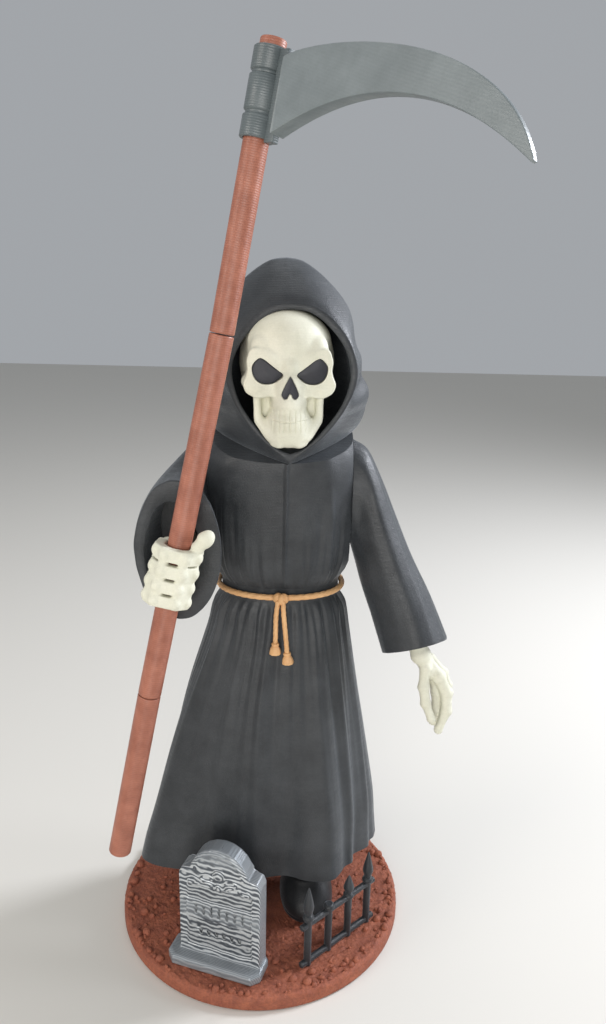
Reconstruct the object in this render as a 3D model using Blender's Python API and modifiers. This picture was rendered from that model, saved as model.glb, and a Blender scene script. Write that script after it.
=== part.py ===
# Reaper figurine printed in plastic: a hooded skeleton in a belted robe with a scythe, standing
# on a round base of rough earth beside a tombstone and a bent iron fence.
# Metres, +Z up. The origin is the middle of the base's underside and the figure faces -Y.
import bpy
import bmesh
from math import atan2, cos, exp, pi, radians, sin
from mathutils import Matrix, Vector

# Clearance between two pieces that meet
GAP = 0.0003

# Round base of earth
BASE_RADIUS = 0.085
BASE_HEIGHT = 0.008
BASE_ROUND = 0.0026
BASE_SIDES = 48
PEBBLE_SIZE = 0.0042
PEBBLE_COUNT = 13

# The figure is carved on a grid: its height from soles to hood is this many steps
FIGURE_HEIGHT = 0.379
GRID_STEPS = 379
STEP = FIGURE_HEIGHT / GRID_STEPS
SOLE_Z = BASE_HEIGHT + GAP

# Walls and trim of the robe
ROBE_WALL = 0.003
ROPE_DIAMETER = 0.0033
ROPE_SIDES = 6
BELT_STEPS = 32
STRAND_DIAMETER = 0.0027
TASSEL_LENGTH = 0.0065

# Scythe
SHAFT_DIAMETER = 0.0112
SHAFT_SIDES = 16
SHAFT_EASE = 0.0006
LENGTH_ABOVE_GRIP = 0.1118
LENGTH_BELOW_GRIP = 0.0653
TOP_LENGTH = 0.1199
BOTTOM_LENGTH = 0.0895
MIDDLE_LEAN = (11.68, 3.14)
TOP_LEAN = (10.35, 3.2)
BOTTOM_LEAN = (11.1, 3.2)
COLLAR_WALL = 0.0016
COLLAR_LENGTH = 0.0352
COLLAR_FROM_TOP = 0.0037
GROOVE_WIDTH = 0.0019
GROOVE_DEPTH = 0.0009
NECK_LENGTH = 0.0125
NECK_THICKNESS = 0.0034
NECK_STEP = 0.0008
NECK_DROP = 0.0014
BLADE_LENGTH = 0.1226
BLADE_ROOT_HEIGHT = 0.0290
BLADE_DROP = 0.0016
BLADE_ROOT_THICKNESS = 0.008
BLADE_TIP_THICKNESS = 0.0026
BLADE_YAW = 45.0

# Tombstone, its place in shares of the base's radius
TOMB_PLACE = (-0.2471, -0.7118)
TOMB_YAW = -18.0
PLINTH_LENGTH = 0.0558
PLINTH_DEPTH = 0.0205
PLINTH_HEIGHT = 0.0055
PLINTH_CORNER = 0.0045
PLINTH_EASE = 0.0012
STONE_WIDTH = 0.0478
STONE_HEIGHT = 0.070
STONE_DEPTH = 0.0105
STONE_EASE = 0.0009
STONE_SETBACK_DEPTH = 0.0075
SHOULDER_HEIGHT = 0.0543
ARCH_RADIUS = 0.0168
STONE_SHIFT = 0.0020
FRAME_WIDTH = 0.0046
PANEL_FOOT_HEIGHT = 0.0035
PANEL_TOP_HEIGHT = 0.0445
BAND_FOOT_HEIGHT = 0.0225
BAND_TOP_HEIGHT = 0.0350
RELIEF_SINK_DEPTH = 0.0003
CRACK_WIDTH = 0.0006
CRACK_DEPTH = 0.0034
PANEL_DEPTH = 0.0010
BAND_DEPTH = 0.0004
STROKE_LENGTH = 0.0058
STROKE_PITCH = 0.0046
STROKE_WIDTH = 0.0012
STROKE_DEPTH = 0.0007

# Fence, its first post's place in shares of the base's radius
FENCE_START = (0.3412, -0.7212)
FENCE_YAW = 43.0
POST_PITCH = 0.0159
POST_DIAMETER = 0.0042
RAIL_DIAMETER = 0.0036
RAIL_STUB = 0.0052
RAIL_LIFT = 0.0003
UPPER_RAIL_HEIGHT = 0.0272
POST_TURN = 0.13
POST_SIDES = 6
RAIL_SIDES = 6
SPEAR_HEIGHTS = (0.0515, 0.0318, 0.0418, 0.0490)
SPEAR_LENGTHS = (0.0178, 0.0, 0.0118, 0.0172)

# Boots, on the figure's grid: middle of each sole and the turn of its toe
BOOT_PLACES = {"left_boot": (28.0, -12.0, 6.0), "right_boot": (-21.0, -10.0, -8.0)}

# Colours (sRGB) with roughness for each kind of print
FINISHES = {
    "black_print": ((0.17, 0.175, 0.18), 0.5, 0.0),
    "earth_print": ((0.43, 0.22, 0.16), 0.85, 0.0),
    "bone_print": ((0.87, 0.86, 0.77), 0.5, 0.0),
    "socket_print": ((0.15, 0.15, 0.18), 0.5, 0.0),
    "rope_print": ((0.83, 0.60, 0.36), 0.55, 0.0),
    "stone_print": ((0.60, 0.62, 0.64), 0.32, 0.3),
    "wood_print": ((0.62, 0.39, 0.32), 0.5, 0.0),
    "collar_print": ((0.40, 0.44, 0.45), 0.4, 0.0),
    "blade_print": ((0.50, 0.53, 0.54), 0.35, 0.0),
}


def clear_scene():
    for old in list(bpy.data.objects):
        bpy.data.objects.remove(old, do_unlink=True)


def new_collection(name):
    group = bpy.data.collections.new(name)
    bpy.context.scene.collection.children.link(group)
    return group


def to_linear(channel):
    if channel <= 0.04045:
        return channel / 12.92
    return ((channel + 0.055) / 1.055) ** 2.4


def make_material(name):
    colour, roughness, metallic = FINISHES[name]
    material = bpy.data.materials.new(name)
    material.use_nodes = True
    shader = material.node_tree.nodes["Principled BSDF"]
    linear = [to_linear(channel) for channel in colour]
    shader.inputs["Base Color"].default_value = (*linear, 1.0)
    shader.inputs["Roughness"].default_value = roughness
    shader.inputs["Metallic"].default_value = metallic
    return material


clear_scene()
parts = new_collection("reaper_figurine")
cutters = new_collection("cutters")
materials = {name: make_material(name) for name in FINISHES}


def add_object(name, mesh, finish=None, smooth_angle=40.0):
    item = bpy.data.objects.new(name, mesh)
    if finish:
        parts.objects.link(item)
        mesh.materials.append(materials[finish])
        mesh.shade_smooth()
        mesh.set_sharp_from_angle(angle=radians(smooth_angle))
    else:
        cutters.objects.link(item)
        item.hide_render = True
        item.display_type = "WIRE"
    return item


def mesh_of(name, bm):
    bmesh.ops.recalc_face_normals(bm, faces=bm.faces)
    mesh = bpy.data.meshes.new(name)
    bm.to_mesh(mesh)
    bm.free()
    return mesh


def boolean(item, tool, operation="DIFFERENCE"):
    modifier = item.modifiers.new(tool.name, "BOOLEAN")
    modifier.operation = operation
    modifier.solver = "EXACT"
    modifier.object = tool
    return modifier


def bake(item):
    # The object's evaluated shape becomes its own mesh, so that a later step can cut it
    bpy.context.view_layer.update()
    graph = bpy.context.evaluated_depsgraph_get()
    mesh = bpy.data.meshes.new_from_object(item.evaluated_get(graph))
    old = item.data
    item.modifiers.clear()
    item.data = mesh
    bpy.data.meshes.remove(old)
    return item


# Places on the figure's grid

def grid(x, y, z):
    return Vector((x * STEP, y * STEP, SOLE_Z + z * STEP))


def turn_matrix(point, direction):
    # Takes a shape made along +Z about the origin to lie along a direction at a point
    return Matrix.Translation(point) @ direction.to_track_quat("Z", "Y").to_matrix().to_4x4()


def smooth_keys(keys, count):
    # Even samples of a smooth line through rows of key values
    last = len(keys) - 1
    samples = []
    for i in range(count):
        place = i * last / (count - 1)
        k = min(int(place), last - 1)
        t = place - k
        row = []
        for before, start, end, after in zip(keys[max(k - 1, 0)], keys[k], keys[k + 1],
                                             keys[min(k + 2, last)]):
            slope_in = (end - before) / 2
            slope_out = (after - start) / 2
            row.append(start * (2 * t ** 3 - 3 * t ** 2 + 1) + slope_in * (t ** 3 - 2 * t ** 2 + t)
                       + end * (3 * t ** 2 - 2 * t ** 3) + slope_out * (t ** 3 - t ** 2))
        samples.append(row)
    return samples


def loft(name, rings, finish=None, smooth_angle=40.0):
    # A closed skin over rings of equal count, with a flat cap on the first and the last
    bm = bmesh.new()
    rows = [[bm.verts.new(point) for point in ring] for ring in rings]
    for low, high in zip(rows, rows[1:]):
        for i in range(len(low)):
            j = (i + 1) % len(low)
            bm.faces.new((low[i], low[j], high[j], high[i]))
    bm.faces.new(rows[0])
    bm.faces.new(rows[-1])
    bmesh.ops.triangulate(bm, faces=bm.faces)
    return add_object(name, mesh_of(name, bm), finish, smooth_angle)


def signed_power(value, power):
    return abs(value) ** power * (1 if value >= 0 else -1)


def oval(count, half_x, half_y, power=1.0):
    # Corners of an oval, from +X towards +Y; a power under 1 makes it squarer
    points = []
    for i in range(count):
        angle = 2 * pi * i / count
        x = half_x * signed_power(cos(angle), power)
        y = half_y * signed_power(sin(angle), power)
        points.append((angle, x, y))
    return points


def swell(angle, middle, width):
    # 1 at the middle angle, falling to 0 at the width; angles in degrees
    away = (degrees_of(angle) - middle + 180) % 360 - 180
    if abs(away) >= width:
        return 0.0
    return 0.5 + 0.5 * cos(pi * away / width)


def degrees_of(angle):
    return angle * 180 / pi


def cylinder(name, start, end, radius, sides, end_radius=None):
    bm = bmesh.new()
    axis = end - start
    far_radius = radius if end_radius is None else end_radius
    bmesh.ops.create_cone(bm, cap_ends=True, segments=sides, radius1=radius, radius2=far_radius,
                          depth=axis.length, matrix=turn_matrix((start + end) / 2, axis))
    return mesh_of(name, bm)


def box_mesh(name, size, matrix):
    bm = bmesh.new()
    bmesh.ops.create_cube(bm, size=1.0, matrix=matrix @ Matrix.Diagonal((*size, 1.0)))
    return mesh_of(name, bm)


def turned(name, profile, sides, matrix, finish=None):
    # A profile of radius and height, listed from the top down, turned about +Z
    bm = bmesh.new()
    corners = [bm.verts.new((x, 0.0, z)) for x, z in profile]
    for start, end in zip(corners, corners[1:]):
        bm.edges.new((start, end))
    mesh = bpy.data.meshes.new(name)
    bm.to_mesh(mesh)
    bm.free()
    item = add_object(name, mesh, finish)
    screw = item.modifiers.new("turn", "SCREW")
    screw.steps = sides
    screw.render_steps = sides
    screw.use_merge_vertices = True
    screw.merge_threshold = 0.0001
    bake(item)
    item.data.transform(matrix)
    item.data.set_sharp_from_angle(angle=radians(40))
    return item


# Base of earth

def pebble_spots():
    # Half-sunk stones near the rim, clear of the fence and tombstone
    spots = []
    for i in range(PEBBLE_COUNT):
        angle = radians(-150 + 330 * i / PEBBLE_COUNT + 4 * sin(3.1 * i))
        reach = BASE_RADIUS * (0.9 + 0.035 * sin(2.3 * i + 1))
        size = PEBBLE_SIZE * (0.62 + 0.38 * sin(1.7 * i) ** 2)
        spot = Vector((reach * cos(angle), reach * sin(angle)))
        taken = [tomb_frame().translation] + [fence_frame() @ Vector((POST_PITCH * k, 0, 0))
                                              for k in range(4)]
        room = [PLINTH_LENGTH * 0.56] + [POST_PITCH * 0.6] * 4
        if all((spot - place.to_2d()).length > gap for place, gap in zip(taken, room)):
            spots.append((spot.x, spot.y, size))
    return spots


def make_base():
    profile = [(0.0, BASE_HEIGHT), (BASE_RADIUS - BASE_ROUND, BASE_HEIGHT)]
    for i in range(1, 4):
        turn = radians(90 - 30 * i)
        profile.append((BASE_RADIUS - BASE_ROUND + BASE_ROUND * cos(turn),
                        BASE_HEIGHT - BASE_ROUND + BASE_ROUND * sin(turn)))
    profile.append((BASE_RADIUS, 0.0))
    profile.append((0.0, 0.0))
    base = turned("earth_base", profile, BASE_SIDES, Matrix(), "earth_print")
    stones = bmesh.new()
    for i, (x, y, size) in enumerate(pebble_spots()):
        place = (Matrix.Translation((x, y, BASE_HEIGHT - 0.12 * size))
                 @ Matrix.Rotation(1.3 * i, 4, "Z") @ Matrix.Rotation(0.4, 4, "X")
                 @ Matrix.Diagonal((size * 0.62, size * 0.5, size * 0.5, 1.0)))
        bmesh.ops.create_icosphere(stones, subdivisions=1, radius=1.0, matrix=place)
    pile = add_object("pebbles", mesh_of("pebbles", stones))
    boolean(base, pile, "UNION")
    return base


# Boots

def make_boot(name):
    middle_x, middle_y, toe_turn = BOOT_PLACES[name]
    # Height, half width, half length and shift of the middle backwards
    sections = [
        (0.0, 13.6, 19.0, 0.0), (1.4, 15.2, 21.0, 0.0), (6.0, 16.0, 22.0, 0.2),
        (11.0, 15.6, 21.0, 1.0), (16.0, 14.4, 18.4, 2.6), (21.0, 12.6, 15.0, 4.4),
        (27.0, 11.2, 12.4, 5.6), (BOOT_TOP, 10.6, 11.6, 6.0),
    ]
    rings = []
    for height, half_width, half_length, shift in sections:
        ring = []
        for angle, x, y in oval(18, half_width, half_length, 0.9):
            turned = Matrix.Rotation(radians(toe_turn), 3, "Z") @ Vector((x, y + shift, 0))
            ring.append(grid(middle_x + turned.x, middle_y + turned.y, height))
        rings.append(ring)
    return loft(name, rings, "black_print")


# Robe below the belt

HEM = 36.0
BELT = 206.0
WAIST_FLAT = 4.0
RECESS_TOP = 66.0
BOOT_TOP = RECESS_TOP - GAP / STEP
WAIST_HALF_X = 32.4
WAIST_HALF_Y = 24.5
WAIST_X = 9.2
SKIRT_SIDES = 42

# Height, middle x, half width and half depth of the robe's plain oval, from the belt down
SKIRT_KEYS = [
    (BELT, WAIST_X, WAIST_HALF_X, WAIST_HALF_Y),
    (BELT - WAIST_FLAT, WAIST_X, WAIST_HALF_X, WAIST_HALF_Y),
    (194.0, 8.8, 36.6, 26.2),
    (178.0, 8.3, 40.0, 28.0),
    (142.0, 5.7, 48.4, 31.0),
    (109.0, 4.2, 54.8, 33.4),
    (70.0, 3.1, 61.0, 35.8),
    (50.0, 1.6, 63.6, 37.0),
    (HEM, 1.0, 65.0, 37.8),
]
# Folds that open towards the hem: angle, half width, share of the radius
FOLDS = [
    (211, 30, 0.22), (301, 20, 0.16), (335, 13, -0.07), (282, 12, -0.08), (12, 22, 0.09),
    (258, 13, 0.03), (48, 16, -0.04), (68, 18, 0.12), (98, 16, 0.10), (128, 18, 0.14),
    (160, 16, 0.09), (184, 12, -0.03),
]


def fold_height(height):
    # Share of a fold's full size at a height of the skirt
    drop = (BELT - WAIST_FLAT - height) / (BELT - WAIST_FLAT - HEM)
    return max(0.0, drop) ** 1.15


def skirt_radius_share(angle, height):
    opening = fold_height(height)
    share = sum(size * swell(angle, middle, width) for middle, width, size in FOLDS) * opening
    below = max(0.0, BELT - WAIST_FLAT - height)
    gather = 0.014 * cos(13 * angle) * min(1.0, below / 10) * exp(-below / 70)
    return 1.0 + share + gather


def skirt_ring(height, middle_x, half_x, half_y, inset=0.0):
    ring = []
    for angle, x, y in oval(SKIRT_SIDES, half_x, half_y, 0.94):
        share = skirt_radius_share(atan2(y / half_y, x / half_x), height)
        flat = Vector((x, y)) * share
        flat -= flat.normalized() * inset / STEP
        ring.append(grid(middle_x + flat.x, flat.y, height))
    return ring


def make_skirt():
    rings = [skirt_ring(*row) for row in SKIRT_KEYS]
    lip = SKIRT_KEYS[-1]
    rings.append(skirt_ring(*lip, inset=ROBE_WALL))
    hollow = (RECESS_TOP, 3.0, 55.0, 31.5)
    rings.append(skirt_ring(*hollow, inset=ROBE_WALL))
    return loft("robe_skirt", rings, "black_print", 50.0)


# Robe above the belt

COLLAR_PLANE_Z = 288.7
COLLAR_SLOPE = 0.27
SIDE_FLAT = 38.1
TORSO_X = 8.7
SEAM_ANGLE = 274.0
TORSO_SIDES = 36


def collar_plane(y):
    # Height on the grid of the sloped plane where the hood sits on the shoulders
    return COLLAR_PLANE_Z + COLLAR_SLOPE * y


# Height, slope, middle x, half width, half depth, clipped at the sides
TORSO_KEYS = [
    (BELT + GAP / STEP, 0.0, WAIST_X, WAIST_HALF_X, WAIST_HALF_Y),
    (BELT + WAIST_FLAT, 0.0, WAIST_X, WAIST_HALF_X, WAIST_HALF_Y),
    (216.0, 0.0, 9.0, 36.0, 26.6),
    (224.0, 0.0, 8.8, 39.0, 28.0),
    (242.0, 0.02, TORSO_X, 41.0, 29.4),
    (262.0, 0.08, TORSO_X, 42.0, 30.6),
    (275.0, 0.17, TORSO_X, 42.0, 31.4),
    (283.5, 0.25, TORSO_X, 40.5, 32.0),
    (COLLAR_PLANE_Z, COLLAR_SLOPE, 9.4, 37.4, 32.0),
]


def make_torso():
    rings = []
    for height, slope, middle_x, half_x, half_y in TORSO_KEYS:
        ring = []
        above = height - BELT - WAIST_FLAT
        for angle, x, y in oval(TORSO_SIDES, half_x, half_y, 0.92):
            share = 1.0
            if above > 0.1:
                share += 0.016 * cos(12 * angle) * min(1.0, above / 8) * exp(-above / 16)
                share += 0.028 * swell(angle, SEAM_ANGLE, 4.0)
                share += 0.02 * swell(angle, 232, 16) * min(1.0, above / 30)
                share += 0.02 * swell(angle, 306, 14) * min(1.0, above / 30)
            flat = Vector((x, y)) * share
            place_x = max(-SIDE_FLAT, min(SIDE_FLAT, middle_x + flat.x - TORSO_X)) + TORSO_X
            ring.append(grid(place_x, flat.y, height + slope * flat.y))
        rings.append(ring)
    return loft("robe_torso", rings, "black_print", 50.0)


# Rope belt with its knot and two tasselled ends

def tube_rings(points, radii, count):
    rings = []
    for i, point in enumerate(points):
        ahead = points[min(i + 1, len(points) - 1)]
        behind = points[max(i - 1, 0)]
        matrix = turn_matrix(point, ahead - behind)
        rings.append([matrix @ Vector((x, y, 0)) for angle, x, y in
                      oval(count, radii[i], radii[i])])
    return rings


def make_belt():
    count = BELT_STEPS
    rope = ROPE_DIAMETER / 2
    half_x = WAIST_HALF_X * STEP + GAP + rope
    half_y = WAIST_HALF_Y * STEP + GAP + rope
    middle = grid(WAIST_X, 0, BELT)
    bm = bmesh.new()
    rows = []
    for i in range(count):
        angle = 2 * pi * i / count
        out = Vector((signed_power(cos(angle), 0.94) * half_x,
                      signed_power(sin(angle), 0.94) * half_y, 0))
        normal = Vector((cos(angle) / half_x, sin(angle) / half_y, 0)).normalized()
        rows.append([bm.verts.new(middle + out + normal * dx + Vector((0, 0, dz)))
                     for turn, dx, dz in oval(ROPE_SIDES, rope, rope)])
    for i in range(count):
        near, far = rows[i], rows[(i + 1) % count]
        for j in range(ROPE_SIDES):
            k = (j + 1) % ROPE_SIDES
            bm.faces.new((near[j], near[k], far[k], far[j]))
    belt = add_object("rope_belt", mesh_of("rope_belt", bm), "rope_print")
    front = -WAIST_HALF_Y - ROPE_DIAMETER / STEP
    knot = bmesh.new()
    bmesh.ops.create_uvsphere(knot, u_segments=10, v_segments=6, radius=1.0,
                              matrix=Matrix.Translation(grid(10.4, front - 1.0, BELT + 0.4))
                              @ Matrix.Diagonal((4.3 * STEP, 2.9 * STEP, 3.2 * STEP, 1.0)))
    boolean(belt, add_object("knot", mesh_of("knot", knot)), "UNION")
    strand = STRAND_DIAMETER / 2
    ends = {"short_end": [(9.0, BELT - 0.4), (8.1, 197.0), (8.0, 189.0), (7.9, 182.0)],
            "long_end": [(11.6, BELT - 0.4), (12.2, 197.0), (13.3, 186.0), (14.2, 176.5)]}
    for name, stops in ends.items():
        points = [grid(x, front - 2.2 - 0.3 * i, z) for i, (x, z) in enumerate(stops)]
        tip = points[-1] - (points[-2] - points[-1]).normalized() * TASSEL_LENGTH
        bell = points[-1].lerp(tip, 0.28)
        points += [bell, tip]
        radii = [strand] * 4 + [strand * 1.6, strand * 2.2]
        tool = loft(name, tube_rings(points, radii, ROPE_SIDES))
        boolean(belt, tool, "UNION")
    return belt


# Hood: outlines across the front, from the rim back to the nape

HOOD_TOP = 378.7
RIM_X = 14.0
CROWN_X = 9.8
# Height and half width of the rim, the hood's widest section and the hollow inside
RIM_KEYS = [(357.7, 0), (356.4, 10), (350, 20), (339, 28.5), (325, 32.4), (310, 28), (295.5, 17.8),
            (285, 5.5), (281, 0)]
CROWN_KEYS = [(HOOD_TOP, 0), (376.9, 9), (368.5, 20.8), (355, 32.2), (338, 37), (325, 40.2),
              (311, 43.5), (291, 37), (268, 0)]
RIM_HOLE_KEYS = [(354.4, 0), (353, 8.6), (347, 17.4), (337, 25.4), (325, 29), (310, 25),
                 (296.5, 15.4), (288.5, 7), (285.4, 0)]
HOLLOW_KEYS = [(365, 0), (363.5, 9), (355, 18), (341, 26), (325, 30.5), (309, 31), (297, 27),
               (288, 18), (280, 0)]
FLOOR_WALL = ROBE_WALL / STEP


def rim_plane(z):
    # Depth on the grid of the leaning plane that the hood's rim lies in
    return -34.0 + 0.123 * (z - 281.0)


def hood_outline(keys, middle_x, count=14):
    right = smooth_keys(keys, count)
    left = [(z, -half) for z, half in right[-2:0:-1]]
    return [(middle_x + half, z) for z, half in right + left]


def blend_keys(first, second, weight):
    return [tuple(a + (b - a) * weight for a, b in zip(p, q)) for p, q in zip(first, second)]


def hood_ring(outline, depth, floor, share=1.0):
    # depth is a distance back from the rim's plane; share shrinks the ring about its middle
    middle_x = sum(x for x, z in outline) / len(outline)
    ring = []
    for x, z in outline:
        far_z = 318.0 + (z - 318.0) * share
        y = rim_plane(far_z) * max(0.0, 1 - depth / 34.0) + depth - 34.0 * min(1.0, depth / 34.0)
        ring.append(grid(middle_x + (x - middle_x) * share, y,
                         max(far_z, collar_plane(y) + floor)))
    return ring


def make_hood():
    foot = GAP / STEP
    # Weight from rim to crown, depth behind the rim's plane, share of the size
    outside = [(0.0, 0.0, 1.0), (0.22, 4.0, 1.0), (0.55, 14.0, 1.0), (0.82, 25.0, 1.0),
               (1.0, 37.0, 1.0), (1.0, 49.0, 0.965), (1.0, 60.0, 0.85), (1.0, 67.0, 0.64),
               (1.0, 71.0, 0.34)]
    inside = [(0.0, 0.0, 1.0), (0.5, 7.0, 1.0), (0.9, 15.0, 1.0), (1.0, 28.0, 1.03),
              (1.0, 43.0, 0.96), (1.0, 55.0, 0.74), (1.0, 60.0, 0.4)]
    rings = []
    for weight, depth, share in reversed(outside):
        middle_x = RIM_X + (CROWN_X - RIM_X) * weight
        keys = blend_keys(RIM_KEYS, CROWN_KEYS, weight)
        rings.append(hood_ring(hood_outline(keys, middle_x), depth, foot, share))
    for weight, depth, share in inside:
        middle_x = RIM_X + (CROWN_X - RIM_X) * 0.3 * weight
        keys = blend_keys(RIM_HOLE_KEYS, HOLLOW_KEYS, weight)
        floor = foot + FLOOR_WALL
        rings.append(hood_ring(hood_outline(keys, middle_x), depth, floor, share))
    return loft("hood", rings, "black_print", 50.0)


# Pieces fused from rounded lumps, then thinned to few faces

def add_ball(bm, middle, radii, tilt=(0, 0, 0), sides=20):
    turn = Matrix.Rotation(radians(tilt[2]), 4, "Z") @ Matrix.Rotation(radians(tilt[1]), 4, "Y")
    turn = turn @ Matrix.Rotation(radians(tilt[0]), 4, "X")
    matrix = Matrix.Translation(middle) @ turn @ Matrix.Diagonal((*radii, 1.0))
    bmesh.ops.create_uvsphere(bm, u_segments=sides, v_segments=sides * 3 // 5, radius=1.0,
                              matrix=matrix)


def add_limb(bm, start, end, start_radius, end_radius, flatten=1.0):
    # A tapered bar with round ends; flatten stretches it along its own frame's Z
    start, end = Vector(start), Vector(end)
    middle = (start + end) / 2
    stretch = (Matrix.Translation(middle) @ Matrix.Diagonal((1, 1, flatten, 1))
               @ Matrix.Translation(-middle))
    bmesh.ops.create_cone(bm, cap_ends=True, segments=16, radius1=start_radius,
                          radius2=end_radius, depth=(end - start).length,
                          matrix=stretch @ turn_matrix(middle, end - start))
    for point, radius in ((start, start_radius), (end, end_radius)):
        bmesh.ops.create_uvsphere(bm, u_segments=14, v_segments=10, radius=radius,
                                  matrix=stretch @ Matrix.Translation(point))


# Voxel in grid steps and share of its faces that each fused piece keeps
FUSING = {"skull": (1.0, 0.021), "right_hand": (0.85, 0.023), "left_hand": (0.85, 0.034)}


def fuse(name, bm, finish, place):
    voxel, keep = FUSING[name]
    bmesh.ops.transform(bm, matrix=place, verts=bm.verts)
    item = add_object(name, mesh_of(name, bm), finish)
    remesh = item.modifiers.new("fuse", "REMESH")
    remesh.mode = "VOXEL"
    remesh.voxel_size = voxel * STEP
    soften = item.modifiers.new("soften", "SMOOTH")
    soften.factor = 0.5
    soften.iterations = 2
    thin = item.modifiers.new("thin", "DECIMATE")
    thin.ratio = keep
    bake(item)
    item.data.shade_smooth()
    return item


# Skull, in grid steps about the middle of its face

SKULL_X = 13.6
SKULL_Z = 325.0
EYE_OUTLINE = [(3.4, 0.2), (3.7, -1.4), (7.1, -4.0), (10.3, -4.9), (13.8, -4.5), (16.7, -2.3),
               (18.1, 1.5), (17.6, 4.6), (14.9, 7.3), (12.6, 7.0), (9.4, 4.7), (5.6, 1.8)]
EYE_FLOOR = -35.2
EYE_FRONT = -38.6
NOSE_OUTLINE = [(0.0, -0.4), (1.5, -2.6), (3.0, -5.6), (4.2, -8.6), (4.0, -10.2), (2.6, -11.4),
                (1.2, -10.8), (0.0, -8.8)]
NOSE_FLOOR = -41.6
NOSE_FRONT = -44.0


def prism(name, outline, near, far, grow, finish=None, shift=(0.0, 0.0)):
    # A filled outline in the face's plane, from depth near to depth far, grown by a margin
    middle_x = sum(x for x, z in outline) / len(outline)
    middle_z = sum(z for x, z in outline) / len(outline)
    rings = []
    for y in (near, far):
        ring = []
        for x, z in outline:
            out = Vector((x - middle_x, z - middle_z))
            out += out.normalized() * grow / STEP
            ring.append(grid(SKULL_X + middle_x + out.x + shift[0], y,
                             SKULL_Z + middle_z + out.y + shift[1]))
        rings.append(ring)
    return loft(name, rings, finish, 30.0)


def mirrored(outline):
    return [(-x, z) for x, z in reversed(outline)]


def make_skull():
    bm = bmesh.new()
    add_ball(bm, (0, -8, 4), (24.2, 31, 27))
    add_ball(bm, (0, -17, 11), (22.4, 22.5, 18.8))
    add_ball(bm, (0, -37.0, 3.0), (4.4, 4.2, 6.0))
    add_ball(bm, (0, -33, -6), (9.0, 11.5, 10.0))
    add_ball(bm, (0, -31.5, -14), (11.4, 13.2, 9.5))
    add_ball(bm, (0, -31.5, -22), (12.4, 13.2, 10.0))
    for side in (-1, 1):
        add_ball(bm, (10.0 * side, -32.8, 8.2), (9.4, 5.6, 3.6), (0, -17 * side, -14 * side))
        add_ball(bm, (19.4 * side, -29.5, 1.5), (4.2, 6.0, 8.6), (0, 8 * side, 0))
        add_ball(bm, (14.8 * side, -32.6, -6.8), (9.0, 6.6, 3.7), (0, 20 * side, -24 * side))
        add_ball(bm, (20.0 * side, -24, -4.6), (4.0, 11.0, 3.8), (0, 0, -6 * side))
        add_limb(bm, (16.6 * side, -18, -4), (15.4 * side, -25, -21), 3.6, 3.4)
        add_limb(bm, (15.2 * side, -25, -21), (7.4 * side, -37.6, -31.4), 3.8, 4.2)
        add_limb(bm, (3.5 * side, -38, -26), (4.6 * side, -38.4, -31.8), 5.2, 4.2)
    add_ball(bm, (0, -37, -30), (8.4, 6.4, 5.8))
    add_limb(bm, (0, -4, -10), (0, -5, -40), 9.0, 9.0)
    place = Matrix.Translation(grid(SKULL_X, 0, SKULL_Z)) @ Matrix.Scale(STEP, 4)
    skull = fuse("skull", bm, "bone_print", place)
    seat = collar_plane(0) + GAP / STEP * 2 + FLOOR_WALL
    tilt = atan2(COLLAR_SLOPE, 1)
    below = (Matrix.Translation(grid(SKULL_X, 0, seat)) @ Matrix.Rotation(tilt, 4, "X")
             @ Matrix.Translation((0, 0, -30 * STEP)))
    size = (70 * STEP, 90 * STEP, 60 * STEP)
    boolean(skull, add_object("seat_cutter", box_mesh("seat_cutter", size, below)))
    front = -60.0
    for name, outline in (("left_eye", EYE_OUTLINE), ("right_eye", mirrored(EYE_OUTLINE))):
        boolean(skull, prism(name + "_cutter", outline, front, EYE_FLOOR, 0.0))
        prism(name + "_insert", outline, EYE_FRONT, EYE_FLOOR - GAP / STEP, -GAP, "socket_print")
    nose = NOSE_OUTLINE + mirrored(NOSE_OUTLINE)[1:-1]
    boolean(skull, prism("nose_cutter", nose, front, NOSE_FLOOR, 0.0))
    prism("nose_insert", nose, NOSE_FRONT, NOSE_FLOOR - GAP / STEP, -GAP, "socket_print")
    return bake(skull)


# Sleeves, lofted from the shoulder to a hollow mouth

RIGHT_BORE_END = -24.0
LEFT_BORE_END = (77.0, -13.6, 192.5)


SLEEVE_SIDES = 22


def section(middle, across, up, half_across, half_up):
    return [middle + across * x + up * y for angle, x, y in
            oval(SLEEVE_SIDES, half_across * STEP, half_up * STEP)]


def sleeve(name, stations, hollow):
    # Each station holds a middle, the two directions of its oval and its half sizes; the
    # hollow's stations go back in from the mouth, the first of them in the mouth's plane
    rings = [section(grid(*middle), Vector(across), Vector(up), *sizes)
             for middle, across, up, *sizes in stations + hollow]
    return loft(name, rings, "black_print", 50.0)


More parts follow.
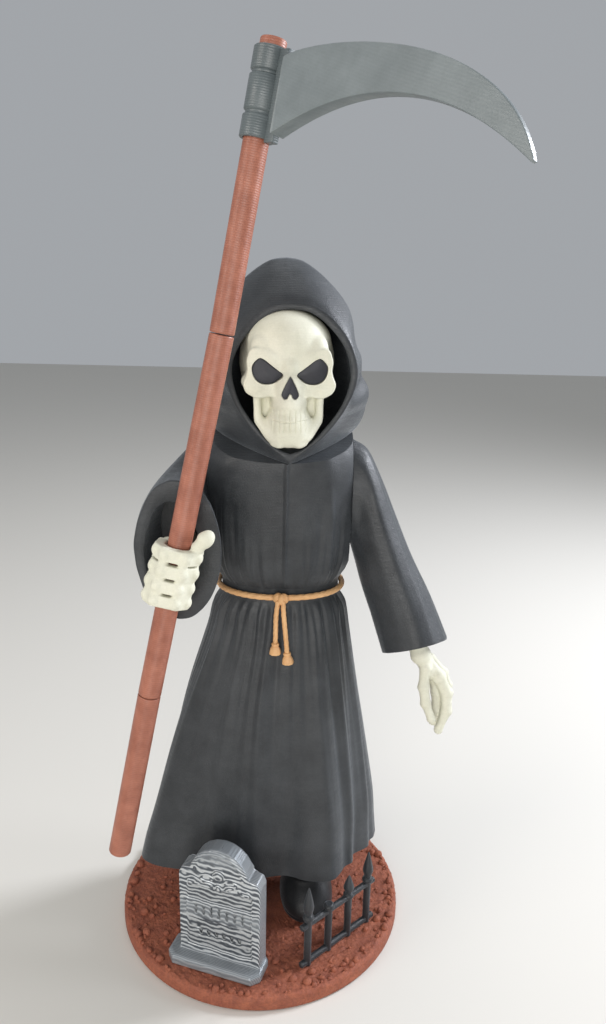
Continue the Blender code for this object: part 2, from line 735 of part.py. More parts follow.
def make_sleeves():
    upright = (0, 0, 1)
    side = TORSO_X - SIDE_FLAT - GAP / STEP
    right = [
        ((side, 0, 258.5), (0, -1, 0), upright, 15.5, 27.0),
        ((side - 6.9, -4.0, 256.0), (0.428, -0.903, 0), upright, 14.9, 28.2),
        ((side - 12.1, -14.2, 249.5), (0.83, -0.559, 0), upright, 14.8, 28.5),
        ((side - 12.8, -28.2, 244.8), (0.972, -0.236, 0), upright, 18.0, 30.5),
        ((side - 11.3, -41.5, 241.5), (0.997, -0.073, 0), upright, 20.6, 33.4),
        ((side - 9.8, -51.0, 239.8), (1, 0, 0), upright, 21.3, 35.9),
        ((side - 9.8, -52.0, 239.4), (1, 0, 0), upright, 20.4, 35.0),
    ]
    right_hollow = [
        ((side - 12.5, -52.0, 237.6), (1, 0, 0), upright, 13.6, 27.4),
        ((side - 12.5, -40.0, 239.6), (1, 0, 0), upright, 12.4, 25.5),
        ((side - 12.3, RIGHT_BORE_END, 244.0), (1, 0, 0), upright, 10.4, 20.0),
    ]
    sleeve("right_sleeve", right, right_hollow)
    side = TORSO_X + SIDE_FLAT + GAP / STEP
    left = [
        ((side, 0, 258.5), (0, 1, 0), upright, 15.5, 28.5),
        ((side + 4.6, 0, 254.0), (0, 1, 0), (0.124, 0, 0.992), 16.5, 28.0),
        ((side + 9.6, -2.0, 242.5), (0, 0.99, -0.12), (0.22, 0, 0.975), 17.5, 26.0),
        ((side + 15.7, -5.0, 226.8), (0, 0.97, -0.22), (0.373, 0.1, 0.922), 18.2, 22.2),
        ((side + 23.1, -9.0, 208.8), (0, 0.95, -0.3), (0.539, 0.12, 0.833), 18.8, 19.3),
        ((side + 30.8, -13.5, 191.5), (0, 0.94, -0.34), (0.766, 0.1, 0.635), 19.2, 17.9),
        ((side + 37.2, -18.0, 175.9), (0, 0.93, -0.37), (0.97, 0.08, 0.23), 19.6, 17.6),
    ]
    left_hollow = [
        ((side + 37.2, -18.0, 175.9), (0, 0.93, -0.37), (0.97, 0.08, 0.23), 16.6, 14.6),
        ((side + 33.6, -15.6, 184.0), (0, 0.93, -0.37), (0.9, 0.08, 0.43), 14.4, 13.0),
        (LEFT_BORE_END, (0, 0.93, -0.37), (0.85, 0.1, 0.52), 11.4, 10.6),
    ]
    sleeve("left_sleeve", left, left_hollow)


# Scythe shaft in three printed sections through the fist

GRIP = (-39.1, -65.6, 235.0)


def lean_direction(lean):
    # Unit vector up a shaft that leans to +X and +Y by two angles
    side, back = lean
    return Vector((sin(radians(side)), sin(radians(back)), cos(radians(side)))).normalized()


MIDDLE_AXIS = lean_direction(MIDDLE_LEAN)
TOP_AXIS = lean_direction(TOP_LEAN)
BOTTOM_AXIS = lean_direction(BOTTOM_LEAN)
GRIP_POINT = grid(*GRIP)
UPPER_SEAM = GRIP_POINT + MIDDLE_AXIS * LENGTH_ABOVE_GRIP
LOWER_SEAM = GRIP_POINT - MIDDLE_AXIS * LENGTH_BELOW_GRIP
SHAFT_TOP = UPPER_SEAM + TOP_AXIS * TOP_LENGTH


def make_shaft():
    radius = SHAFT_DIAMETER / 2
    joint = GAP / 2 + radius * sin(TOP_AXIS.angle(MIDDLE_AXIS))
    low_joint = GAP / 2 + radius * sin(BOTTOM_AXIS.angle(MIDDLE_AXIS))
    runs = {
        "shaft_top": (UPPER_SEAM + TOP_AXIS * joint, SHAFT_TOP),
        "shaft_middle": (LOWER_SEAM + MIDDLE_AXIS * low_joint, UPPER_SEAM - MIDDLE_AXIS * GAP / 2),
        "shaft_bottom": (LOWER_SEAM - BOTTOM_AXIS * BOTTOM_LENGTH,
                         LOWER_SEAM - BOTTOM_AXIS * GAP / 2),
    }
    for name, (low, high) in runs.items():
        shaft = add_object(name, cylinder(name, low, high, radius, SHAFT_SIDES), "wood_print")
        edge = shaft.modifiers.new("edge", "BEVEL")
        edge.width = SHAFT_EASE
        edge.segments = 1
        edge.limit_method = "ANGLE"
        edge.angle_limit = radians(60)


COLLAR_MIDDLE = SHAFT_TOP - TOP_AXIS * (COLLAR_FROM_TOP + COLLAR_LENGTH / 2)
COLLAR_RADIUS = SHAFT_DIAMETER / 2 + GAP + COLLAR_WALL


def scythe_frame():
    # Blade's frame at the middle of the collar: along the blade, up the shaft, across
    yaw = radians(BLADE_YAW)
    along = Vector((cos(yaw), -sin(yaw), 0))
    along = (along - TOP_AXIS * along.dot(TOP_AXIS)).normalized()
    across = along.cross(TOP_AXIS).normalized()
    rows = Matrix((along, TOP_AXIS, across)).transposed().to_4x4()
    return Matrix.Translation(COLLAR_MIDDLE) @ rows


def collar_profile():
    # Radius and height about the collar's middle, from the top down, with two grooves
    half = COLLAR_LENGTH / 2
    profile = [(0.0, half), (COLLAR_RADIUS, half)]
    for spot in (0.22 * COLLAR_LENGTH, -0.22 * COLLAR_LENGTH):
        profile += [(COLLAR_RADIUS, spot + GROOVE_WIDTH / 2),
                    (COLLAR_RADIUS - GROOVE_DEPTH, spot + GROOVE_WIDTH / 4),
                    (COLLAR_RADIUS - GROOVE_DEPTH, spot - GROOVE_WIDTH / 4),
                    (COLLAR_RADIUS, spot - GROOVE_WIDTH / 2)]
    return profile + [(COLLAR_RADIUS, -half), (0.0, -half)]


def make_collar():
    place = turn_matrix(COLLAR_MIDDLE, TOP_AXIS)
    collar = turned("blade_collar", collar_profile(), SHAFT_SIDES, place, "collar_print")
    reach = NECK_LENGTH - GAP
    size = (reach, COLLAR_LENGTH - NECK_STEP + NECK_DROP, NECK_THICKNESS)
    place = scythe_frame() @ Matrix.Translation((reach / 2, -(NECK_STEP + NECK_DROP) / 2, 0))
    boolean(collar, add_object("neck", box_mesh("neck", size, place)), "UNION")
    bake(collar)
    past = TOP_AXIS * COLLAR_LENGTH
    bore = cylinder("collar_bore", COLLAR_MIDDLE - past, COLLAR_MIDDLE + past,
                    SHAFT_DIAMETER / 2 + GAP, SHAFT_SIDES)
    boolean(collar, add_object("collar_bore", bore))
    return bake(collar)


def bezier(start, first, second, end, count):
    points = []
    for i in range(count):
        t = i / (count - 1)
        weights = ((1 - t) ** 3, 3 * t * (1 - t) ** 2, 3 * t * t * (1 - t), t ** 3)
        points.append(tuple(sum(w * p[axis] for w, p in
                                zip(weights, (start, first, second, end))) for axis in (0, 1)))
    return points


def make_blade():
    # Outline in shares of the blade's length and root height, from the root's middle
    back_edge = bezier((0, 0.5), (0.07, 0.66), (0.81, 0.83), (1.0, -0.79), 22)
    cutting_edge = bezier((0, -0.5), (0.39, 0.3), (0.71, -0.02), (0.993, -0.81), 22)
    outline = back_edge + cutting_edge[::-1]
    frame = scythe_frame()
    rings = []
    for side in (-0.5, 0.5):
        ring = []
        for share, height in outline:
            thickness = BLADE_ROOT_THICKNESS + (BLADE_TIP_THICKNESS - BLADE_ROOT_THICKNESS) * share
            ring.append(frame @ Vector((NECK_LENGTH + share * BLADE_LENGTH,
                                        height * BLADE_ROOT_HEIGHT - BLADE_DROP,
                                        side * thickness)))
        rings.append(ring)
    return loft("scythe_blade", rings, "blade_print", 30.0)


# Hands

# Height up the shaft and shift to the side of each finger in the fist
FINGER_ROWS = [(9.6, 0.4), (1.6, 0.0), (-5.6, -0.4), (-12.6, -0.2)]
FINGER_RADIUS = 2.8
FINGER_STRETCH = 1.4


def make_right_hand():
    # A fist about the shaft, in grid steps: X to the side, -Y to the front, Z up the shaft
    bm = bmesh.new()
    for height, shift in FINGER_ROWS:
        stops = [(-8.8, 5.0), (-9.2, -4.2), (-5.0, -9.0), (4.6, -9.2), (8.8, -4.4), (7.6, 2.4)]
        for near, far in zip(stops, stops[1:]):
            add_limb(bm, (near[0] + shift, near[1], height), (far[0] + shift, far[1], height),
                     FINGER_RADIUS, FINGER_RADIUS, FINGER_STRETCH)
    add_ball(bm, (-6.5, 8.5, -1.5), (6.4, 5.6, 14.6))
    add_ball(bm, (2.0, 9.5, 0.5), (8.6, 5.0, 12.6))
    add_limb(bm, (3.0, 8.0, 5.0), (8.2, 0.5, 11.0), 4.4, 3.8)
    add_limb(bm, (8.4, 0.0, 11.4), (8.8, -4.6, 14.4), 3.6, 3.4)
    add_limb(bm, (8.8, -4.6, 14.4), (11.2, -6.0, 19.2), 3.2, 3.6)
    add_limb(bm, (0.0, 11.0, 2.0), (-1.0, RIGHT_BORE_END - GRIP[1] - 7.0, 6.0), 6.6, 6.6)
    forward = Vector((0, 1, 0))
    forward = (forward - MIDDLE_AXIS * forward.dot(MIDDLE_AXIS)).normalized()
    side = forward.cross(MIDDLE_AXIS).normalized()
    rows = Matrix((side, forward, MIDDLE_AXIS)).transposed().to_4x4()
    place = Matrix.Translation(GRIP_POINT) @ rows @ Matrix.Scale(STEP, 4)
    hand = fuse("right_hand", bm, "bone_print", place)
    bore = cylinder("grip_bore", GRIP_POINT - MIDDLE_AXIS * 0.04, GRIP_POINT + MIDDLE_AXIS * 0.04,
                    SHAFT_DIAMETER / 2 + GAP, SHAFT_SIDES)
    boolean(hand, add_object("grip_bore", bore))
    return bake(hand)


def make_left_hand():
    bm = bmesh.new()
    chains = [
        [(80.4, -16.0, 187.2, 5.8), (87.4, -21.5, 172, 6.0), (94.4, -22, 160, 6.2)],
        [(89.6, -24, 164, 3.4), (89.3, -26, 154, 3.2), (91.2, -26.5, 145, 2.9),
         (94.8, -26, 135.6, 2.5)],
        [(98.4, -23, 159, 4.2), (103.2, -22, 150, 3.8), (103.6, -22.5, 139, 3.4),
         (99.6, -24, 128, 2.4)],
        [(96.4, -19, 158, 3.8), (98.6, -17.5, 148, 3.4), (98.8, -18.5, 138, 3.0),
         (97.0, -20, 131, 2.4)],
        [(100.4, -18, 160, 3.6), (104.2, -15, 151, 3.2), (104.6, -15, 142, 2.8),
         (102.6, -16, 134, 2.3)],
        [(92.0, -15, 168, 4.4), (92.6, -10, 158, 3.4), (94.0, -9, 149, 2.8)],
    ]
    for chain in chains:
        for near, far in zip(chain, chain[1:]):
            add_limb(bm, near[:3], far[:3], near[3], far[3])
    place = Matrix.Translation(grid(0, 0, 0)) @ Matrix.Scale(STEP, 4)
    return fuse("left_hand", bm, "bone_print", place)


# Tombstone

def tomb_frame():
    x, y = (share * BASE_RADIUS for share in TOMB_PLACE)
    place = Matrix.Translation((x, y, BASE_HEIGHT + GAP))
    return place @ Matrix.Rotation(radians(TOMB_YAW), 4, "Z")


def stone_outline():
    # Right half from the foot up: side, shoulder, notch and arch; the left half mirrors it
    half = STONE_WIDTH / 2
    spring = STONE_HEIGHT - ARCH_RADIUS
    right = [(half, 0.0), (half, SHOULDER_HEIGHT - 0.004), (half - 0.0018, SHOULDER_HEIGHT),
             (half - 0.0045, SHOULDER_HEIGHT + 0.0006)]
    for i in range(6):
        turn = radians(6 + 84 * i / 5)
        right.append((ARCH_RADIUS * cos(turn), spring + ARCH_RADIUS * sin(turn)))
    left = [(-x, z) for x, z in reversed(right[:-1])]
    return right + left


def wall_slab(name, outline, front, back, matrix, finish=None):
    rings = [[matrix @ Vector((x, y, z)) for x, z in outline] for y in (front, back)]
    return loft(name, rings, finish, 30.0)


# Place across and up the stone, length and turn of each crack
CRACKS = [(0.0023, STONE_HEIGHT - 0.0017, 0.0085, 11), (-0.0112, 0.0098, 0.0085, -35),
          (0.0148, 0.0065, 0.006, 40)]
# Boss, leaf and scrolls: place across and up from the arch's middle, half sizes and tilt
RELIEF = [(0.0, 0.0016, (0.0038, 0.0024, 0.0038), 0), (0.0, -0.0062, (0.0016, 0.0016, 0.0026), 0),
          (0.0068, -0.0046, (0.0046, 0.0016, 0.0017), -22),
          (0.0156, -0.0060, (0.0039, 0.0014, 0.0014), 24)]


def make_tombstone():
    # Cut about its own middle, so that the cuts are the same wherever it stands
    front = -PLINTH_DEPTH / 2 + STONE_SETBACK_DEPTH
    foot = PLINTH_HEIGHT * 0.5
    half_x, half_y, cut = PLINTH_LENGTH / 2, PLINTH_DEPTH / 2, PLINTH_CORNER
    corners = [(half_x, -half_y + cut), (half_x, half_y - cut), (half_x - cut, half_y),
               (-half_x + cut, half_y), (-half_x, half_y - cut), (-half_x, -half_y + cut),
               (-half_x + cut, -half_y), (half_x - cut, -half_y)]
    levels = [(0.0, 0.0), (PLINTH_HEIGHT - PLINTH_EASE, 0.0), (PLINTH_HEIGHT, PLINTH_EASE)]
    rings = [[Vector((x * (1 - shrink / half_x), y * (1 - shrink / half_y), z))
              for x, y in corners] for z, shrink in levels]
    tomb = loft("tombstone", rings, "stone_print", 30.0)
    lift = Matrix.Translation((STONE_SHIFT, 0, PLINTH_HEIGHT))
    outline = [(x, z if z > 0 else -foot) for x, z in stone_outline()]
    slab = wall_slab("stone", outline, front, front + STONE_DEPTH, lift)
    edge = slab.modifiers.new("edge", "BEVEL")
    edge.width = STONE_EASE
    edge.segments = 1
    edge.limit_method = "ANGLE"
    edge.angle_limit = radians(50)
    bake(slab)
    boolean(tomb, slab, "UNION")
    # Sunk panel inside a plain frame, with a band that stands out across it
    inner = STONE_WIDTH / 2 - FRAME_WIDTH
    edges = [(inner, PANEL_FOOT_HEIGHT), (inner, PANEL_TOP_HEIGHT),
             (-inner, PANEL_TOP_HEIGHT), (-inner, PANEL_FOOT_HEIGHT)]
    panel = wall_slab("panel", edges, front - STONE_DEPTH, front + PANEL_DEPTH, lift)
    boolean(tomb, panel)
    tuck = FRAME_WIDTH / 4
    band = wall_slab("band", [(inner + tuck, BAND_FOOT_HEIGHT), (inner + tuck, BAND_TOP_HEIGHT),
                              (-inner - tuck, BAND_TOP_HEIGHT), (-inner - tuck, BAND_FOOT_HEIGHT)],
                     front + BAND_DEPTH, front + STONE_DEPTH / 2, lift)
    boolean(tomb, band, "UNION")
    bake(tomb)
    # Rows of plain strokes cut in the band and under it
    strokes = bmesh.new()
    rows = [((BAND_FOOT_HEIGHT + BAND_TOP_HEIGHT) / 2, STROKE_LENGTH, 7),
            ((PANEL_FOOT_HEIGHT + BAND_FOOT_HEIGHT) / 2, STROKE_LENGTH / 2, 6)]
    for middle_z, length, count in rows:
        surface = BAND_DEPTH if middle_z > BAND_FOOT_HEIGHT else PANEL_DEPTH
        for i in range(count):
            x = (i - (count - 1) / 2) * STROKE_PITCH
            place = lift @ Matrix.Translation((x, front + surface, middle_z))
            size = (STROKE_WIDTH, 2 * STROKE_DEPTH, length)
            bmesh.ops.create_cube(strokes, size=1.0, matrix=place @ Matrix.Diagonal((*size, 1.0)))
    boolean(tomb, add_object("strokes", mesh_of("strokes", strokes)))
    # Cracks on the arch and a bite out of the lower right corner
    breaks = bmesh.new()
    for x, z, length, turn in CRACKS:
        place = (lift @ Matrix.Translation((x, front, z)) @ Matrix.Rotation(radians(turn), 4, "Y"))
        size = (CRACK_WIDTH, CRACK_DEPTH, length)
        bmesh.ops.create_cube(breaks, size=1.0, matrix=place @ Matrix.Diagonal((*size, 1.0)))
    boolean(tomb, add_object("breaks", mesh_of("breaks", breaks)))
    bake(tomb)
    # Round boss over a small leaf, with a curling scroll on each side under the arch
    relief = bmesh.new()
    sunk = front + RELIEF_SINK_DEPTH
    for x, z, sizes, tilt in RELIEF:
        for side in (-1, 1) if x > 0 else (1,):
            add_ball(relief, Vector((side * x, sunk, STONE_HEIGHT - ARCH_RADIUS + z)), sizes,
                     (0, tilt * side, 0), 8)
    bmesh.ops.transform(relief, matrix=lift, verts=relief.verts)
    boolean(tomb, add_object("relief", mesh_of("relief", relief)), "UNION")
    bake(tomb)
    tomb.data.transform(tomb_frame())
    return tomb


# Fence

def fence_frame():
    x, y = (share * BASE_RADIUS for share in FENCE_START)
    place = Matrix.Translation((x, y, BASE_HEIGHT + GAP))
    return place @ Matrix.Rotation(radians(FENCE_YAW), 4, "Z")


def post_profile(height, spear):
    # Radius and height up a post: shaft, two rings and a spear, or a broken stub
    post = POST_DIAMETER / 2
    ring = post * 1.5
    if spear == 0:
        return [(0.0, height), (post * 0.9, height), (ring, height - 0.0012),
                (ring, height - 0.0026), (post, height - 0.0034), (post, 0.0), (0.0, 0.0)]
    neck = height - spear
    return [(0.0, height), (post * 0.25, height - 0.0012), (post * 1.5, neck + spear * 0.28),
            (post * 0.9, neck), (ring, neck - 0.0012), (ring, neck - 0.0026),
            (post, neck - 0.0034), (post, 0.0), (0.0, 0.0)]


def make_fence():
    run = POST_PITCH * 3
    rail = RAIL_DIAMETER / 2
    rails = {}
    for name, height in (("fence", rail + RAIL_LIFT), ("upper_rail", UPPER_RAIL_HEIGHT)):
        start = Vector((-RAIL_STUB, 0, height))
        end = Vector((run + RAIL_STUB, 0, height))
        rails[name] = cylinder(name, start, end, rail, RAIL_SIDES)
    fence = add_object("fence", rails["fence"], "black_print")
    upper = add_object("upper_rail", rails["upper_rail"])
    posts = []
    for i, (height, spear) in enumerate(zip(SPEAR_HEIGHTS, SPEAR_LENGTHS)):
        place = Matrix.Translation((POST_PITCH * i, 0, 0))
        place = place @ Matrix.Rotation(POST_TURN, 4, "Z")
        posts.append(turned(f"post_{i}", post_profile(height, spear), POST_SIDES, place))
    for post in posts:
        boolean(fence, post, "UNION")
    bake(fence)
    boolean(fence, upper, "UNION")
    bake(fence)
    fence.data.transform(fence_frame())
    return fence


make_base()
make_boot("left_boot")
make_boot("right_boot")
make_skirt()
make_torso()
make_belt()
make_hood()
make_skull()
make_sleeves()
make_shaft()
make_collar()
make_blade()
make_right_hand()
make_left_hand()
make_tombstone()
make_fence()
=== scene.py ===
# Hooded reaper figurine, printed in pieces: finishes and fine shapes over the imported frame
import math
import bpy
import numpy as np
from mathutils import Matrix, Vector


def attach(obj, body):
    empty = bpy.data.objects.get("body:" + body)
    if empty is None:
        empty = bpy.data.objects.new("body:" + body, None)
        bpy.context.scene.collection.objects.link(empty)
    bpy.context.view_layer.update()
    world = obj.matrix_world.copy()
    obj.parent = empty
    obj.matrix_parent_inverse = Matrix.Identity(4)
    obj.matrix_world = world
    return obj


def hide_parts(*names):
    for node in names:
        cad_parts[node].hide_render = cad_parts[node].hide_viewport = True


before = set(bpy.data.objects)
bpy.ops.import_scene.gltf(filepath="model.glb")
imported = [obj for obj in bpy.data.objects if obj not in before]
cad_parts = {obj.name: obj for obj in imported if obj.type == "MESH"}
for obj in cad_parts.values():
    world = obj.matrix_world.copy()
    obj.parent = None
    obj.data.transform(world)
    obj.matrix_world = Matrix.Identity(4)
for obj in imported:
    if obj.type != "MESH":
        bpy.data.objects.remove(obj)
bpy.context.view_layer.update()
bpy.ops.object.select_all(action="DESELECT")
print("frame loaded")

tau = 2 * math.pi
soleHeight = 8.3  # mm, top of the base plus the clearance under the boots


# Small helpers

def srgb(code):
    # An sRGB hex colour as the linear RGBA that the shader wants
    channels = [int(code[i:i + 2], 16) / 255 for i in (0, 2, 4)]
    linear = [c / 12.92 if c <= 0.04045 else ((c + 0.055) / 1.055) ** 2.4 for c in channels]
    return (*linear, 1.0)


def metres(x, y, z):
    # Figure's own millimetres (z from the soles) to the frame's metres
    x, y, z = np.broadcast_arrays(x, y, z)
    return np.stack([x, y, z + soleHeight], axis=-1) / 1000


def smoothRows(keys, perKey):
    # Rows of values on a smooth line through the key rows, each key kept as a row
    keys = np.array(keys, dtype=float)
    padded = np.vstack([keys[:1], keys, keys[-1:]])
    rows = []
    for k in range(len(keys) - 1):
        a, b, c, d = padded[k:k + 4]
        for t in np.arange(perKey) / perKey:
            rows.append(b * (2 * t ** 3 - 3 * t ** 2 + 1) + (c - a) / 2 * (t ** 3 - 2 * t ** 2 + t)
                        + c * (3 * t ** 2 - 2 * t ** 3) + (d - b) / 2 * (t ** 3 - t ** 2))
    rows.append(keys[-1])
    return rows


def signedPower(value, power):
    return np.sign(value) * np.abs(value) ** power


def roundTurn(count):
    # Even angles once round, in radians
    return np.arange(count) * tau / count


def swell(angle, middle, width):
    # 1 at the middle angle, easing to 0 at the width, all in degrees
    away = (np.degrees(angle) - middle + 180) % 360 - 180
    return np.where(np.abs(away) < width, 0.5 + 0.5 * np.cos(np.pi * away / width), 0.0)


def pickOnly(*pieces):
    # Selects these pieces alone, the first of them active
    bpy.ops.object.select_all(action="DESELECT")
    for piece in pieces:
        piece.select_set(True)
    bpy.context.view_layer.objects.active = pieces[0]


def finishObject(piece, name, material, *nodes, smooth, slot):
    # Names a piece, gives it its finish and hangs it on the frame in place of its nodes
    piece.name = name
    piece.data.name = name
    piece.data.materials.clear()
    piece.data.materials.append(material)
    pickOnly(piece)
    bpy.ops.object.transform_apply(location=True, rotation=True, scale=True)
    bpy.ops.object.shade_smooth_by_angle(angle=math.radians(smooth))
    piece.select_set(False)
    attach(piece, "root")
    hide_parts(*nodes)


def fromSoles(x=0.0, y=0.0, z=0.0):
    # Takes a shape made in mm about a point of the figure to the frame
    return Matrix.Scale(0.001, 4) @ Matrix.Translation((x, y, z + soleHeight))


def rolledSkin(rings, tube=False, merge=0.000001):
    # A grid primitive rolled into a closed skin over rings of points, its two ends capped,
    # or joined to each other where the skin is a tube's
    rings = list(rings) + ([rings[0]] if tube else [])
    rows, around = len(rings), len(rings[0])
    bpy.ops.mesh.primitive_grid_add(x_subdivisions=around, y_subdivisions=rows - 1, size=1)
    piece = bpy.context.object
    points = np.array([np.vstack([ring, ring[:1]]) for ring in rings], dtype=np.float32)
    piece.data.vertices.foreach_set("co", points.reshape(-1))
    piece.data.update()
    bpy.ops.object.mode_set(mode="EDIT")
    bpy.ops.mesh.select_all(action="SELECT")
    bpy.ops.mesh.remove_doubles(threshold=merge)
    if not tube:
        bpy.ops.mesh.fill_holes(sides=0)
        bpy.ops.mesh.select_all(action="SELECT")
    bpy.ops.mesh.normals_make_consistent(inside=False)
    bpy.ops.object.mode_set(mode="OBJECT")
    piece.select_set(False)
    return piece


def nodeCopy(node):
    # A merged copy of a CAD node's mesh, to be worked on as a new piece
    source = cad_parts[node]
    piece = bpy.data.objects.new(node + "_copy", source.data.copy())
    bpy.context.scene.collection.objects.link(piece)
    pickOnly(piece)
    bpy.ops.object.mode_set(mode="EDIT")
    bpy.ops.mesh.select_all(action="SELECT")
    bpy.ops.mesh.remove_doubles(threshold=0.000002)
    bpy.ops.mesh.tris_convert_to_quads()
    bpy.ops.object.mode_set(mode="OBJECT")
    return piece


def applyModifiers(piece):
    bpy.context.view_layer.objects.active = piece
    for modifier in list(piece.modifiers):
        bpy.ops.object.modifier_apply(modifier=modifier.name)


def softened(piece, voxel, passes):
    # One even skin over the piece, smoothed so that no facet shows
    remesh = piece.modifiers.new("skin", "REMESH")
    remesh.mode = "VOXEL"
    remesh.voxel_size = voxel
    smooth = piece.modifiers.new("smooth", "SMOOTH")
    smooth.factor = 0.5
    smooth.iterations = passes
    applyModifiers(piece)
    return piece


def bevelled(piece, width, segments, angle):
    edge = piece.modifiers.new("edge", "BEVEL")
    edge.width = width
    edge.segments = segments
    edge.limit_method = "ANGLE"
    edge.angle_limit = math.radians(angle)
    applyModifiers(piece)


def vectorsOf(items, name):
    # One vector of each corner or face of a mesh, as rows
    values = np.empty(len(items) * 3, dtype=np.float32)
    items.foreach_get(name, values)
    return values.reshape(-1, 3).astype(float)


def cornersOf(piece):
    return vectorsOf(piece.data.vertices, "co")


def normalsOf(piece):
    return vectorsOf(piece.data.vertex_normals, "vector")


def moveCorners(piece, points):
    piece.data.vertices.foreach_set("co", points.astype(np.float32).reshape(-1))
    piece.data.update()


def bump(distance, width):
    # 1 at no distance, fading away over the width
    return np.exp(-(distance / width) ** 2)


def lump(heap, middle, sizes, tilt=(0, 0, 0)):
    # An egg with half sizes along its own tilted axes
    bpy.ops.mesh.primitive_uv_sphere_add(segments=32, ring_count=20, radius=1.0, location=middle,
                                         rotation=[math.radians(a) for a in tilt])
    bpy.context.object.scale = sizes
    heap.append(bpy.context.object)


def bone(heap, start, end, startRadius, endRadius, knob=1.0):
    # A tapered bar with a knob at each end
    start, end = Vector(start), Vector(end)
    bpy.ops.mesh.primitive_cone_add(
        vertices=24, radius1=startRadius, radius2=endRadius, depth=(end - start).length,
        location=(start + end) / 2, rotation=(end - start).to_track_quat("Z", "Y").to_euler())
    heap.append(bpy.context.object)
    for point, radius in ((start, startRadius), (end, endRadius)):
        lump(heap, point, [radius * knob] * 3)


def block(heap, start, end, thickness, height, extra=0.0):
    # A level bar with square sides from start to end
    start, end = Vector(start), Vector(end)
    run = end - start
    bpy.ops.mesh.primitive_cube_add(size=1.0, location=(start + end) / 2,
                                    rotation=(0, 0, math.atan2(run.y, run.x)))
    bpy.context.object.scale = (run.length + extra, thickness, height)
    heap.append(bpy.context.object)


def joinHeap(heap):
    # All the pieces of a heap as one mesh, turned and sized as they stand
    pickOnly(*heap)
    bpy.ops.object.join()
    bpy.ops.object.transform_apply(location=True, rotation=True, scale=True)
    return bpy.context.object


def finerWhere(piece, chosen):
    # Subdivides the faces whose middles are chosen
    picked = chosen(vectorsOf(piece.data.polygons, "center"))
    pickOnly(piece)
    bpy.ops.object.mode_set(mode="EDIT")
    bpy.ops.mesh.select_mode(type="FACE")
    bpy.ops.mesh.select_all(action="DESELECT")
    bpy.ops.object.mode_set(mode="OBJECT")
    piece.data.polygons.foreach_set("select", picked)
    bpy.ops.object.mode_set(mode="EDIT")
    bpy.ops.mesh.subdivide(number_cuts=1, smoothness=0.0)
    bpy.ops.object.mode_set(mode="OBJECT")


def smoothLoop(points, perPoint):
    # A closed smooth line through the points
    points = np.array(points, dtype=float)
    out = []
    for k in range(len(points)):
        a, b, c, d = (points[(k + i) % len(points)] for i in (-1, 0, 1, 2))
        for t in np.arange(perPoint) / perPoint:
            out.append(0.5 * ((2 * b) + (c - a) * t + (2 * a - 5 * b + 4 * c - d) * t ** 2
                              + (3 * b - a - 3 * c + d) * t ** 3))
    return np.array(out)


def turnedRings(profile, sides, place):
    # Rings of a profile of radius and height in mm, turned about its own axis and placed
    turn = roundTurn(sides)
    rings = []
    for radius, height in profile:
        ring = np.stack([radius * np.cos(turn), radius * np.sin(turn),
                         np.full(sides, float(height))], axis=1) / 1000
        rings.append(ring @ np.array(place.to_3x3()).T + np.array(place.translation))
    return rings


# Finishes

def addNode(tree, kind, settings=(), links=()):
    # One node with its settings, and links given as {its input: (other node, output)}
    node = tree.nodes.new(kind)
    for key, value in dict(settings).items():
        if isinstance(key, int) or key in node.inputs:
            node.inputs[key].default_value = value
        else:
            setattr(node, key, value)
    for key, (other, output) in dict(links).items():
        tree.links.new(other.outputs[output], node.inputs[key])
    return node


def noise(tree, place, size, detail, roughness):
    # Noise with cells of about a size in mm
    return addNode(tree, "ShaderNodeTexNoise",
                   {"Scale": 1000 / size, "Detail": detail, "Roughness": roughness},
                   {"Vector": (place, "Vector")})


def spread(tree, value, start, end, low, high):
    # Takes a value's range from start to end to the range from low to high
    return addNode(tree, "ShaderNodeMapRange",
                   {"From Min": start, "From Max": end, "To Min": low, "To Max": high},
                   {"Value": value})


def toneRamp(tree, value, stops):
    # A colour for each value, from stops of a position and a colour
    ramp = addNode(tree, "ShaderNodeValToRGB", links={"Fac": value})
    elements = ramp.color_ramp.elements
    elements[0].position, elements[1].position = stops[0][0], stops[-1][0]
    for position, _ in stops[1:-1]:
        elements.new(position)
    for element, (_, colour) in zip(elements, stops):
        element.color = colour
    return ramp


def multiplied(tree, first, second):
    return addNode(tree, "ShaderNodeMix", {"data_type": "RGBA", "blend_type": "MULTIPLY", 0: 1.0},
                   {6: first, 7: second})


